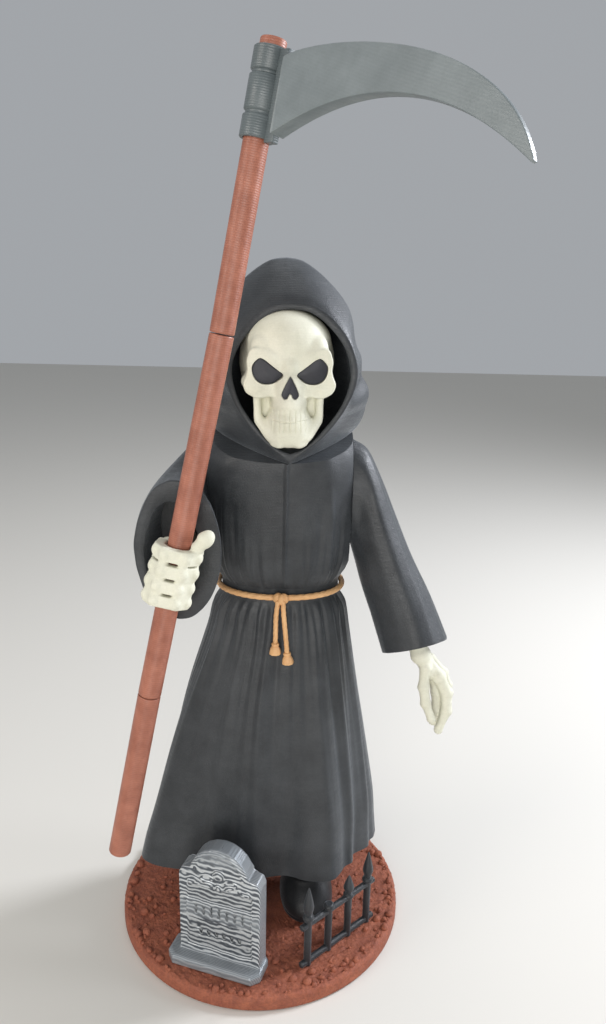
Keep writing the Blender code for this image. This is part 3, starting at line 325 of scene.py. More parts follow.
def printedPlastic(name, look):
    # Layered plastic: ridges one layer apart, a drifting tone and a soft uneven sheen.
    # look holds the colours, the sizes in mm and the turn to the way the layers are stacked
    material = bpy.data.materials.new(name)
    material.use_nodes = True
    tree = material.node_tree
    shader = tree.nodes["Principled BSDF"]
    shader.inputs["IOR"].default_value = 1.46  # PLA
    shader.inputs["Metallic"].default_value = look.get("metallic", 0.0)
    shader.inputs["Coat Weight"].default_value = look.get("coat", 0.0)
    shader.inputs["Coat Roughness"].default_value = 0.35
    shader.inputs["Sheen Weight"].default_value = look.get("sheen", 0.0)
    shader.inputs["Sheen Roughness"].default_value = 0.45
    shader.inputs["Sheen Tint"].default_value = srgb("c4ccd4")
    place = addNode(tree, "ShaderNodeTexCoord")
    turned = addNode(tree, "ShaderNodeMapping",
                     {"vector_type": "TEXTURE", "Rotation": look.get("turn", (0, 0, 0))},
                     {"Vector": (place, "Object")})
    layers = addNode(tree, "ShaderNodeTexWave",
                     {"bands_direction": "Z", "wave_profile": "SIN",
                      "Scale": tau * 1000 / look["layer"] / 20,
                      "Distortion": look.get("wobble", 0.6), "Detail": 1.0,
                      "Detail Scale": 0.4},
                     {"Vector": (turned, "Vector")})
    stretched = addNode(tree, "ShaderNodeMapping",
                        {"Scale": look.get("streak", (1.0, 1.0, 6.0))},
                        {"Vector": (turned, "Vector")})
    drift = noise(tree, turned, look.get("driftSize", 14.0), 5.0, 0.62)
    streaks = noise(tree, stretched, look.get("streakSize", 5.0), 4.0, 0.7)
    grain = noise(tree, turned, look.get("grain", 0.9), 3.0, 0.6)
    tone = toneRamp(tree, (drift, "Fac"),
                    [(0.3, srgb(look["dark"])), (0.72, srgb(look["light"]))])
    lines = spread(tree, (layers, "Fac"), 0.0, 1.0, 1.0 - look.get("lineTone", 0.08), 1.0)
    lined = multiplied(tree, (tone, "Color"), (lines, "Result"))
    speckle = look.get("speckle", 0.03)
    spots = spread(tree, (grain, "Fac"), 0.35, 0.65, 1.0 - speckle, 1.0 + speckle)
    speckled = multiplied(tree, (lined, 2), (spots, "Result"))
    tree.links.new(speckled.outputs[2], shader.inputs["Base Color"])
    gloss = spread(tree, (streaks, "Fac"), 0.3, 0.7, *look["roughness"])
    tree.links.new(gloss.outputs["Result"], shader.inputs["Roughness"])
    grainBump = addNode(tree, "ShaderNodeBump",
                        {"Strength": 1.0, "Distance": look.get("grainDepth", 0.03) / 1000},
                        {"Height": (grain, "Fac")})
    layerBump = addNode(tree, "ShaderNodeBump",
                        {"Strength": 1.0, "Distance": look.get("layerDepth", 0.05) / 1000},
                        {"Height": (layers, "Fac"), "Normal": (grainBump, "Normal")})
    tree.links.new(layerBump.outputs["Normal"], shader.inputs["Normal"])
    return material, tree, shader, turned


def upAlong(direction):
    # Euler turn that takes a pattern's Z to a direction, for a Mapping node of type Texture
    return Vector(direction).to_track_quat("Z", "Y").to_euler()


# Matte black PLA of the cloth: the 0.2 mm layers are drawn 0.8 mm apart so that they show,
# and uneven streaks along them give the dusty glints on the shoulders. The boots and the
# fence are printed in the same plastic, in darker tones
blackLook = {"dark": "26292c", "light": "3a3d40", "layer": 0.8, "layerDepth": 0.025,
             "roughness": (0.32, 0.6), "streak": (0.8, 0.8, 5.0), "streakSize": 5.0,
             "grain": 0.7, "grainDepth": 0.17, "speckle": 0.12, "sheen": 0.22,
             "lineTone": 0.16, "driftSize": 16.0, "wobble": 0.8}
blackCloth = printedPlastic("matteBlackPla", blackLook)[0]
bootLook = dict(blackLook, dark="0c0d0f", light="16181b", layer=0.7)
bootPla = printedPlastic("satinBlackPla", bootLook)[0]
fencePla = printedPlastic("blackPlaFence", dict(bootLook, dark="1b1d20", light="2b2e31"))[0]

# Brown PLA of the shaft, stacked along its own length, with a satin streak down it
shaftDirection = (0.2024, 0.0547, 0.9778)
woodLook = {"dark": "8c5442", "light": "ad6f5a", "layer": 1.0, "layerDepth": 0.05,
            "roughness": (0.34, 0.5), "streak": (1.0, 1.0, 9.0), "streakSize": 9.0,
            "grain": 0.8, "grainDepth": 0.02, "lineTone": 0.14, "driftSize": 10.0,
            "wobble": 0.2, "turn": upAlong(shaftDirection)}
woodPla = printedPlastic("brownPla", woodLook)[0]

# Silver-grey silk PLA of the blade, printed flat: fine lines run across its face
bladeLook = {"dark": "666e70", "light": "7d8587", "layer": 1.2, "layerDepth": 0.012,
             "roughness": (0.3, 0.42), "streak": (1.0, 1.0, 3.0), "streakSize": 9.0,
             "grain": 0.7, "grainDepth": 0.015, "lineTone": 0.035, "driftSize": 26.0,
             "wobble": 0.1, "turn": upAlong((0.25, -0.25, 0.93)), "coat": 0.15}
bladePla = printedPlastic("silkGreyPla", bladeLook)[0]
collarLook = dict(bladeLook, dark="4d5557", light="636b6d", layer=1.0, layerDepth=0.06,
                  lineTone=0.12, turn=upAlong(shaftDirection))
collarPla = printedPlastic("satinDarkGreyPla", collarLook)[0]

# Ivory PLA of the bones: smooth, with a warm drift and faint layers
boneLook = {"dark": "cfcebb", "light": "dcdbca", "layer": 0.7, "layerDepth": 0.025,
            "roughness": (0.5, 0.64), "streak": (1.0, 1.0, 3.0), "streakSize": 6.0,
            "grain": 0.8, "grainDepth": 0.02, "lineTone": 0.035, "driftSize": 12.0}
bonePla = printedPlastic("ivoryPla", boneLook)[0]
socketLook = {"dark": "1f2026", "light": "2d2e36", "layer": 0.6, "layerDepth": 0.03,
              "roughness": (0.4, 0.55), "lineTone": 0.12, "turn": upAlong((0.5, 0, 0.86))}
socketPla = printedPlastic("charcoalPla", socketLook)[0]

# Tan PLA of the rope
ropeLook = {"dark": "cb9763", "light": "ecbd88", "layer": 0.7, "layerDepth": 0.05,
            "roughness": (0.42, 0.6), "lineTone": 0.14, "grain": 0.6, "grainDepth": 0.04}
ropePla = printedPlastic("tanPla", ropeLook)[0]

# Terracotta-brown PLA of the earth, printed with a fuzzy skin: 1 mm crumbs, dull all over
earthLook = {"dark": "824735", "light": "9f5d44", "layer": 0.9, "layerDepth": 0.04,
             "roughness": (0.6, 0.85), "streak": (1.0, 1.0, 1.0), "streakSize": 3.0,
             "grain": 1.2, "grainDepth": 0.6, "lineTone": 0.06, "driftSize": 6.0,
             "speckle": 0.16}
earthPla = printedPlastic("fuzzyEarthPla", earthLook)[0]


def bandedSilk(name, look):
    # Two-tone silk PLA: the tone turns over every few layers, so light and dark bands follow
    # the shape's height like contour lines
    material, tree, shader, turned = printedPlastic(name, look)
    wobble = noise(tree, turned, look["wobbleSize"], 2.0, 0.5)
    parts = addNode(tree, "ShaderNodeSeparateXYZ", links={"Vector": (turned, "Vector")})
    depth = addNode(tree, "ShaderNodeMath",
                    {"operation": "MULTIPLY", 1: look["depthShare"]}, {0: (parts, "Y")})
    height = addNode(tree, "ShaderNodeMath", {"operation": "ADD"},
                     {0: (parts, "Z"), 1: (depth, "Value")})
    shift = addNode(tree, "ShaderNodeMath",
                    {"operation": "MULTIPLY_ADD", 1: look["wobbleDepth"] / 1000},
                    {0: (wobble, "Fac"), 2: (height, "Value")})
    turns = addNode(tree, "ShaderNodeMath",
                    {"operation": "MULTIPLY", 1: tau * 1000 / look["band"]},
                    {0: (shift, "Value")})
    wave = addNode(tree, "ShaderNodeMath", {"operation": "SINE"}, {0: (turns, "Value")})
    # The bands are plain at some heights: the plinth, the plump band and the arch's top
    rise = spread(tree, (parts, "Z"), look["foot"] / 1000, look["top"] / 1000, 0.0, 1.0)
    strength = toneRamp(tree, (rise, "Result"), [(position, (share, share, share, 1.0))
                                                 for position, share in look["strength"]])
    swing = addNode(tree, "ShaderNodeMath", {"operation": "MULTIPLY"},
                    {0: (wave, "Value"), 1: (strength, "Color")})
    bands = spread(tree, (swing, "Value"), -1.0, 1.0, 0.0, 1.0)
    banded = toneRamp(tree, (bands, "Result"),
                      [(0.18, srgb(look["bandDark"])), (0.5, srgb(look["bandMiddle"])),
                       (0.8, srgb(look["bandLight"]))])
    # What is carved is darker: painted shade in the recesses behind the frame and in the strokes
    carved = addNode(tree, "ShaderNodeAttribute", {"attribute_name": "carved"})
    shade = spread(tree, (carved, "Fac"), 0.0, 1.0, 1.0, 0.45)
    carvingShade = multiplied(tree, (banded, "Color"), (shade, "Result"))
    tree.links.new(carvingShade.outputs[2], shader.inputs["Base Color"])
    return material


# Two-tone silver silk PLA of the tombstone, printed on its back: bands about 3 mm apart follow
# the depth of the carving
stoneLook = {"dark": "5f666c", "light": "aab0b4", "layer": 0.8, "layerDepth": 0.04,
             "roughness": (0.24, 0.4), "grain": 0.8, "grainDepth": 0.03, "metallic": 0.25,
             "band": 3.0, "depthShare": 3.2, "wobbleSize": 17.0, "wobbleDepth": 8.0,
             "bandDark": "4d5259", "bandMiddle": "868c91", "bandLight": "bdc1c3",
             # how strong the bands are from the foot to the top, both heights in mm
             "foot": 8.3, "top": 84.0,
             "strength": [(0.0, 0.15), (0.07, 0.2), (0.1, 1.0), (0.36, 1.0), (0.41, 0.35),
                          (0.49, 0.3), (0.55, 1.0), (0.82, 1.0), (0.9, 0.35), (1.0, 0.15)],
             "turn": (0.0, 0.0, math.radians(-18.0))}
stonePla = bandedSilk("twoToneSilkPla", stoneLook)


# Pieces rolled from the same stations as the solids, with their folds

robe = {
    "around": 520, "hem": 36.0, "belt": 206.0, "waistFlat": 4.0, "wall": 3.0,
    "gatherDepth": 0.95, "gatherFade": 34.0, "rippleDepth": 0.28, "creaseShare": 0.83636,
    # the hollow's ceiling: height, middle x, half width and half depth
    "ceiling": (66.0, 3.0, 55.0, 31.5),
    # height, middle x, half width and half depth from the belt down
    "keys": [(206.0, 9.2, 32.4, 24.5), (202.0, 9.2, 32.4, 24.5), (194.0, 8.8, 36.6, 26.2),
             (178.0, 8.3, 40.0, 28.0), (142.0, 5.7, 48.4, 31.0), (109.0, 4.2, 54.8, 33.4),
             (70.0, 3.1, 61.0, 35.8), (50.0, 1.6, 63.6, 37.0), (36.0, 1.0, 65.0, 37.8)],
    # angle, half width and share of the radius at the hem
    "folds": [(211, 30, 0.22), (301, 20, 0.16), (335, 13, -0.07), (282, 12, -0.08), (12, 22, 0.09),
              (258, 13, 0.03), (48, 16, -0.04), (68, 18, 0.12), (98, 16, 0.10), (128, 18, 0.14),
              (160, 16, 0.09), (184, 12, -0.03)],
    # angle at the belt, drift in degrees down to the hem, half width, depth in mm, start height
    "creases": [(231, -6, 5, -1.3, 204), (243, -3, 4, 1.0, 198), (252, 2, 4, -1.2, 204),
                (262, 2, 3.4, 0.9, 190), (271, 4, 4.5, -1.1, 200), (281, 3, 3.4, 0.8, 185),
                (291, 5, 4.6, -1.4, 204), (300, 3, 3.6, 1.0, 196), (312, 6, 4.4, -1.2, 204),
                (322, 4, 4.0, 0.9, 188), (332, 5, 4.5, -1.2, 200), (346, 3, 5.0, 1.0, 200),
                (200, -5, 5, -1.0, 200), (216, -6, 4.5, 1.0, 204), (20, 4, 6, -1.0, 200),
                (44, 2, 6, 0.9, 200), (84, 1, 7, -1.1, 200), (112, -2, 7, 0.9, 198),
                (146, -3, 6, -1.2, 202), (172, -4, 6, 0.9, 200)],
}


def robeFolds(angle, height):
    drop = max(0.0, (robe["belt"] - robe["waistFlat"] - height)
               / (robe["belt"] - robe["waistFlat"] - robe["hem"]))
    share = sum(size * swell(angle, middle, width) for middle, width, size in robe["folds"])
    return 1.0 + share * drop ** 1.15


def robeFine(angle, height):
    # Gathers under the belt that fade downwards, and long creases that run on to the hem
    below = max(0.0, robe["belt"] - robe["waistFlat"] - height)
    start = min(1.0, below / 7)
    fade = math.exp(-below / robe["gatherFade"])
    gathers = (np.sin(31 * angle + 2.2 * np.sin(3 * angle) + 0.4)
               + 0.6 * np.sin(47 * angle + 1.7 * np.sin(5 * angle))) / 1.6
    fine = robe["gatherDepth"] * start * fade * gathers
    ripples = np.sin(23 * angle + 2.5 * np.sin(4 * angle + height / 90))
    fine = fine + robe["rippleDepth"] * start * ripples
    drop = below / (robe["belt"] - robe["hem"])
    for middle, drift, width, depth, top in robe["creases"]:
        grown = min(1.0, max(0.0, top - height) / 14) * (1.0 - 0.7 * drop)
        crease = swell(angle, middle + drift * drop, width * (0.65 + 0.9 * drop))
        fine = fine + depth * robe["creaseShare"] * grown * crease
    return fine


def robeRing(row, inset=0.0, fine=1.0):
    height, middleX, halfX, halfY = row
    turn = roundTurn(robe["around"])
    x = halfX * signedPower(np.cos(turn), 0.94)
    y = halfY * signedPower(np.sin(turn), 0.94)
    angle = np.arctan2(y / halfY, x / halfX)
    share = robeFolds(angle, height)
    length = np.hypot(x, y)
    reach = share + (robeFine(angle, height) * fine - inset) / length
    return metres(middleX + x * reach, y * reach, height)


def makeSkirt():
    rows = smoothRows(robe["keys"][1:], 18)
    rings = [robeRing(robe["keys"][0])] + [robeRing(row) for row in rows]
    hem = rows[-1]
    # The rolled hem, then the hollow under the robe
    for inset, lift in ((0.5, 0.1), (1.2, 0.0), (2.2, 0.15), (robe["wall"], 0.75)):
        rings.append(robeRing((hem[0] + lift, *hem[1:]), inset))
    for share in (0.3, 0.65, 1.0):
        hollow = hem * (1 - share) + np.array(robe["ceiling"]) * share
        rings.append(robeRing(hollow, robe["wall"], 1 - share))
    finishObject(rolledSkin(rings), "robe_below_belt", blackCloth, "robe_skirt", smooth=50,
                 slot="black_print")


# The shoulders' plane at the figure's middle, falling towards the front
shoulders = {"height": 288.7, "slope": 0.27}

chest = {
    "around": 420, "sideFlat": 38.1, "middleX": 8.7, "waist": 210.0,
    "seamAngle": 274.0, "seamDepth": 1.15, "seamWidth": 1.7,
    # height, slope, middle x, half width and half depth
    "keys": [(206.3, 0, 9.2, 32.4, 24.5), (210.0, 0, 9.2, 32.4, 24.5), (216.0, 0, 9.0, 36.0, 26.6),
             (224.0, 0, 8.8, 39.0, 28.0), (242.0, 0.02, 8.7, 41.0, 29.4),
             (262.0, 0.08, 8.7, 42.0, 30.6), (275.0, 0.17, 8.7, 42.0, 31.4),
             (283.5, 0.25, 8.7, 40.5, 32.0), (288.7, 0.27, 9.4, 37.4, 32.0)],
    # angle, lean in degrees up to the shoulder, half width, depth in mm, top of the fold
    "folds": [(226, 8, 5, 1.1, 272), (236, 4, 4, -1.0, 262), (246, 2, 4, 0.8, 250),
              (256, 0, 3.5, -0.7, 238), (264, 0, 3, 0.6, 232), (285, 0, 3.5, -0.7, 236),
              (293, -2, 4, 0.9, 246), (302, -4, 4.5, -1.1, 264), (312, -7, 5, 1.1, 274),
              (210, 10, 6, -0.9, 270), (325, -8, 5, -0.8, 262), (60, 0, 8, 0.9, 275),
              (90, 0, 8, -0.9, 280), (120, 0, 8, 0.9, 275), (75, 2, 6, -0.7, 250),
              (105, -2, 6, 0.7, 250)],
}


def chestRing(row):
    height, slope, middleX, halfX, halfY = row
    turn = roundTurn(chest["around"])
    x = halfX * signedPower(np.cos(turn), 0.92)
    y = halfY * signedPower(np.sin(turn), 0.92)
    above = height - chest["waist"]
    lift = max(0.0, above)
    share = 1 + 0.02 * (swell(turn, 232, 16) + swell(turn, 306, 14)) * min(1.0, lift / 30)
    fine = 0.0
    if above > 0:
        gathers = np.sin(29 * turn + 1.9 * np.sin(3 * turn)) + 0.6 * np.sin(43 * turn + 0.8)
        fine = fine + 0.6 * gathers * min(1.0, above / 5) * math.exp(-above / 13)
        for middle, lean, width, depth, top in chest["folds"]:
            grown = min(1.0, above / 6) * min(1.0, max(0.0, top - height) / 22)
            fine = fine + depth * 0.8 * grown * swell(turn, middle + lean * above / 75, width)
        seam = swell(turn, chest["seamAngle"], chest["seamWidth"])
        fine = fine + chest["seamDepth"] * seam * min(1.0, above / 10)
    reach = share + fine / np.hypot(x, y)
    side = np.clip(middleX + x * reach - chest["middleX"], -chest["sideFlat"], chest["sideFlat"])
    return metres(side + chest["middleX"], y * reach, height + slope * y * reach)


def makeChest():
    rings = [chestRing(np.array(chest["keys"][0], dtype=float))]
    rings += [chestRing(row) for row in smoothRows(chest["keys"][1:], 16)]
    finishObject(rolledSkin(rings), "robe_above_belt", blackCloth, "robe_torso", smooth=50,
                 slot="black_print")


hoodShape = {
    "around": 300, "rimX": 14.0, "crownX": 9.8, "middleZ": 318.0, "foldZ": 322.0,
    "rimDepth": 34.0, "rimLean": 0.123, "rimFoot": 281.0, "wall": 3.0, "gap": 0.3,
    "rim": [(357.7, 0), (356.4, 10), (350, 20), (339, 28.5), (325, 32.4), (310, 28),
            (295.5, 17.8), (285, 5.5), (281, 0)],
    "crown": [(378.7, 0), (376.9, 9), (368.5, 20.8), (355, 32.2), (338, 37), (325, 40.2),
              (311, 43.5), (291, 37), (268, 0)],
    "rimHole": [(354.4, 0), (353, 8.6), (347, 17.4), (337, 25.4), (325, 29), (310, 25),
                (296.5, 15.4), (288.5, 7), (285.4, 0)],
    "hollow": [(365, 0), (363.5, 9), (355, 18), (341, 26), (325, 30.5), (309, 31), (297, 27),
               (288, 18), (280, 0)],
    # weight from rim to crown, depth behind the rim in mm and share of the size
    "outside": [(0.0, 0.0, 1.0), (0.22, 4.0, 1.0), (0.55, 14.0, 1.0), (0.82, 25.0, 1.0),
                (1.0, 37.0, 1.0), (1.0, 49.0, 0.965), (1.0, 60.0, 0.85), (1.0, 67.0, 0.64),
                (1.0, 71.0, 0.34)],
    "inside": [(0.0, 0.0, 1.0), (0.5, 7.0, 1.0), (0.9, 15.0, 1.0), (1.0, 28.0, 1.03),
               (1.0, 43.0, 0.96), (1.0, 55.0, 0.74), (1.0, 60.0, 0.4)],
    # angle, drift in degrees for each mm behind the rim, half width and depth in mm
    "folds": [(-28, 0.35, 9, 1.3), (-14, 0.3, 8, -1.2), (4, 0.2, 9, 0.9), (26, 0, 14, -0.5),
              (154, 0, 14, -0.5), (176, -0.2, 9, 0.9), (194, 0, 8, -1.2),
              (208, -0.35, 9, 1.2)],
}


def hoodOutline(keys, middleX):
    half = hoodShape["around"] // 2
    rows = np.array(smoothRows(keys, 40))
    length = np.concatenate([[0], np.cumsum(np.hypot(*np.diff(rows, axis=0).T))])
    even = np.linspace(0, length[-1], half + 1)
    z = np.interp(even, length, rows[:, 0])
    x = np.interp(even, length, rows[:, 1])
    return (np.concatenate([middleX + x, middleX - x[-2:0:-1]]),
            np.concatenate([z, z[-2:0:-1]]))


def hoodRing(weight, depth, size, inner, fine):
    first, second = ("rimHole", "hollow") if inner else ("rim", "crown")
    keys = [tuple(np.array(a) * (1 - weight) + np.array(b) * weight)
            for a, b in zip(hoodShape[first], hoodShape[second])]
    shift = (hoodShape["crownX"] - hoodShape["rimX"]) * weight * (0.3 if inner else 1.0)
    x, z = hoodOutline(keys, hoodShape["rimX"] + shift)
    middleX, middleZ = x.mean(), hoodShape["middleZ"]
    z = middleZ + (z - middleZ) * size
    x = middleX + (x - middleX) * size
    if fine:
        # Soft folds that run back from the rim, deepest low down at the sides
        up, across = z - hoodShape["foldZ"], x - middleX
        angle, length = np.arctan2(up, across), np.hypot(across, up)
        back = min(1.0, depth / 12) * min(1.0, max(0.0, 72 - depth) / 12)
        folds = sum(deep * swell(angle, middle + drift * depth, width)
                    for middle, drift, width, deep in hoodShape["folds"])
        x = x + across / length * folds * back
        z = z + up / length * folds * back
    rimDepth = hoodShape["rimDepth"]
    rimY = hoodShape["rimLean"] * (z - hoodShape["rimFoot"]) - rimDepth
    y = rimY * max(0.0, 1 - depth / rimDepth) + depth - rimDepth * min(1.0, depth / rimDepth)
    lift = hoodShape["gap"] + (hoodShape["wall"] if inner else 0.0)
    floor = shoulders["height"] + shoulders["slope"] * y + lift
    return metres(x, y, np.maximum(z, floor))


def makeHood():
    rings = [hoodRing(w, d, s, False, True) for w, d, s in
             reversed(smoothRows(hoodShape["outside"], 11))]
    # The rim is a rounded band between the two skins
    outer, inner = rings[-1], hoodRing(0, 0, 1.0, True, False)
    for share, lift in ((0.12, 0.35), (0.5, 0.5), (0.88, 0.35)):
        band = outer * (1 - share) + inner * share
        band[:, 1] -= lift / 1000
        rings.append(band)
    rings += [hoodRing(w, d, s, True, False) for w, d, s in smoothRows(hoodShape["inside"], 7)]
    finishObject(rolledSkin(rings), "hood_and_cowl", blackCloth, "hood", smooth=50,
                 slot="black_print")


level = ((1, 0, 0), (0, 0, 1))  # directions of a row that faces straight ahead

sleeves = {
    "around": 180, "gap": 0.3, "twist": 50.0,
    # each row: middle, direction across, direction up, half size across and half size up
    "right": {
        "side": -1,
        "out": [((0, 0, 258.5), (0, -1, 0), (0, 0, 1), 15.5, 27.0),
                ((-6.9, -4.0, 256.0), (0.428, -0.903, 0), (0, 0, 1), 14.9, 28.2),
                ((-12.1, -14.2, 249.5), (0.83, -0.559, 0), (0, 0, 1), 14.8, 28.5),
                ((-12.8, -28.2, 244.8), (0.972, -0.236, 0), (0, 0, 1), 18.0, 30.5),
                ((-11.3, -41.5, 241.5), (0.997, -0.073, 0), (0, 0, 1), 20.6, 33.4),
                ((-9.8, -51.4, 239.7), *level, 21.3, 35.9)],
        "lip": [((-9.8, -51.9, 239.6), *level, 21.0, 35.6),
                ((-9.8, -52.0, 239.4), *level, 20.6, 35.1),
                ((-12.4, -52.0, 237.7), *level, 13.9, 27.8),
                ((-12.5, -51.7, 237.6), *level, 13.5, 27.4)],
        "hollow": [((-12.5, -40.0, 239.6), *level, 12.4, 25.5),
                   ((-12.3, -24.0, 244.0), *level, 10.4, 20.0)],
        "folds": [(150, 13, 0.5), (120, 12, -0.5), (95, 14, 0.45), (60, 16, -0.4), (210, 14, 0.4),
                  (235, 13, -0.45), (262, 14, 0.4), (180, 14, -0.45), (20, 16, 0.35)]},
    "left": {
        "side": 1,
        "out": [((0, 0, 258.5), (0, 1, 0), (0, 0, 1), 15.5, 28.5),
                ((4.6, 0, 254.0), (0, 1, 0), (0.124, 0, 0.992), 16.5, 28.0),
                ((9.6, -2.0, 242.5), (0, 0.99, -0.12), (0.22, 0, 0.975), 17.5, 26.0),
                ((15.7, -5.0, 226.8), (0, 0.97, -0.22), (0.373, 0.1, 0.922), 18.2, 22.2),
                ((23.1, -9.0, 208.8), (0, 0.95, -0.3), (0.539, 0.12, 0.833), 18.8, 19.3),
                ((30.8, -13.5, 191.5), (0, 0.94, -0.34), (0.766, 0.1, 0.635), 19.2, 17.9),
                ((36.9, -17.8, 176.5), (0, 0.93, -0.37), (0.96, 0.08, 0.26), 19.6, 17.7)],
        "lip": [((37.2, -18.0, 175.9), (0, 0.93, -0.37), (0.97, 0.08, 0.23), 19.2, 17.2),
                ((37.2, -18.0, 175.9), (0, 0.93, -0.37), (0.97, 0.08, 0.23), 16.6, 14.6)],
        "hollow": [((33.6, -15.6, 184.0), (0, 0.93, -0.37), (0.9, 0.08, 0.43), 14.4, 13.0),
                   ((29.9, -13.6, 192.5), (0, 0.93, -0.37), (0.85, 0.1, 0.52), 11.4, 10.6)],
        "folds": [(70, 24, 0.8), (112, 18, -0.9), (158, 22, 0.7), (205, 24, -0.6),
                  (255, 22, 0.7), (305, 24, -0.8), (345, 20, 0.7), (30, 20, -0.7)]},
}


def sleeveRing(row, side, folds, along):
    # along runs from 0 at the shoulder to 1 at the mouth
    middle, across, up, halfAcross, halfUp = row[0:3], row[3:6], row[6:9], row[9], row[10]
    turn = roundTurn(sleeves["around"])
    fine = 0.0
    grown = min(1.0, along / 0.18) * (1.0 - 0.3 * along)
    for place, width, depth in folds:
        fine = fine + depth * grown * swell(turn, place + sleeves["twist"] * (along - 0.5), width)
    x = np.cos(turn) * (halfAcross + fine)
    y = np.sin(turn) * (halfUp + fine)
    points = np.array(middle) + x[:, None] * np.array(across) + y[:, None] * np.array(up)
    shoulder = chest["middleX"] + side * (chest["sideFlat"] + sleeves["gap"])
    return metres(points[:, 0] + shoulder, points[:, 1], points[:, 2])


def makeSleeve(which):
    shape = sleeves[which]
    side, folds = shape["side"], shape["folds"]

    def flat(rows):
        return [np.array((*m, *a, *u, p, q), dtype=float) for m, a, u, p, q in rows]

    out = smoothRows(flat(shape["out"]), 18)
    inner = smoothRows(flat(shape["lip"][-1:] + shape["hollow"]), 8)[1:]
    rings = [sleeveRing(row, side, folds, i / (len(out) - 1)) for i, row in enumerate(out)]
    rings += [sleeveRing(row, side, folds, 1.0) for row in flat(shape["lip"])]
    rings += [sleeveRing(row, side, [], 1.0) for row in inner]
    finishObject(rolledSkin(rings), f"{which}_sleeve_cloth", blackCloth, f"{which}_sleeve",
                 smooth=50, slot="black_print")


makeSkirt()
makeChest()
makeHood()
for sleeveSide in ("right", "left"):
    makeSleeve(sleeveSide)
print("cloth rolled")


# Skull in mm about the middle of its face, turned a little to the viewer's right

skullShape = {
    "place": (13.6, 0.0, 325.0), "turn": 4.5, "turnAbout": -40.0, "neckFoot": 3.6,
    "firstVoxel": 0.75, "voxel": 0.48,
    "eye": [(3.4, 0.2), (3.7, -1.4), (7.1, -4.0), (10.3, -4.9), (13.8, -4.5), (16.7, -2.3),
            (18.1, 1.5), (17.6, 4.6), (14.9, 7.3), (12.6, 7.0), (9.4, 4.7), (5.6, 1.8)],
    "eyeFloor": -35.2, "eyeFront": -38.3,
    "nose": [(0.0, -0.4), (1.5, -2.6), (3.0, -5.6), (4.2, -8.6), (4.0, -10.2), (2.6, -11.4),
             (1.2, -10.8), (0.0, -8.8)],
    "noseFloor": -41.6, "noseFront": -43.4,
    "clearance": 0.3,
    "toothWidth": 2.6, "bite": -22.2, "gumTop": -16.4, "gumFoot": -28.2, "toothGroove": 0.42,
    # x and height of the flat middle of the face and of the forehead, right half
    "band": [(0.0, 7.5), (6.0, 8.2), (12.0, 10.6), (16.4, 11.8), (18.6, 10.8), (19.4, 8.6),
             (20.2, 5.8), (19.7, 1.8), (20.6, -2.0), (21.8, -4.8), (21.0, -7.6), (18.9, -9.8),
             (15.0, -11.2), (9.0, -10.4), (5.0, -12.0), (0.0, -12.0)],
    "bandFront": -39.0,
    "forehead": [(0.0, 29.5), (6.0, 28.2), (10.5, 25.2), (14.8, 21.2), (17.4, 16.5),
                 (18.5, 12.0), (18.6, 6.0), (14.0, 0.0), (0.0, -2.0)],
}


def skullPlace():
    about = Vector((0.0, skullShape["turnAbout"], 0.0))
    return (fromSoles(*skullShape["place"]) @ Matrix.Translation(about)
            @ Matrix.Rotation(math.radians(skullShape["turn"]), 4, "Z")
            @ Matrix.Translation(-about))


def facePrism(outline, near, far, grow):
    # A filled outline of the face's front between two depths, grown outwards by a margin
    points = smoothLoop(outline, 6)
    ahead, behind = np.roll(points, -1, axis=0), np.roll(points, 1, axis=0)
    run = ahead - behind
    out = np.stack([run[:, 1], -run[:, 0]], axis=1) / np.hypot(*run.T)[:, None]
    area = np.sum(points[:, 0] * ahead[:, 1] - ahead[:, 0] * points[:, 1])
    points = points + out * grow * np.sign(area)
    return rolledSkin([np.stack([points[:, 0], np.full(len(points), y), points[:, 1]], axis=1)
                       for y in (near, far)], merge=0.001)


def mirroredOutline(outline):
    return [(-x, z) for x, z in reversed(outline)]


def bothHalves(outline):
    return outline + mirroredOutline(outline)[1:-1]


def booleanWith(piece, other, operation):
    cut = piece.modifiers.new("cut", "BOOLEAN")
    cut.operation = operation
    cut.solver = "EXACT"
    cut.object = other
    applyModifiers(piece)
    bpy.data.objects.remove(other)


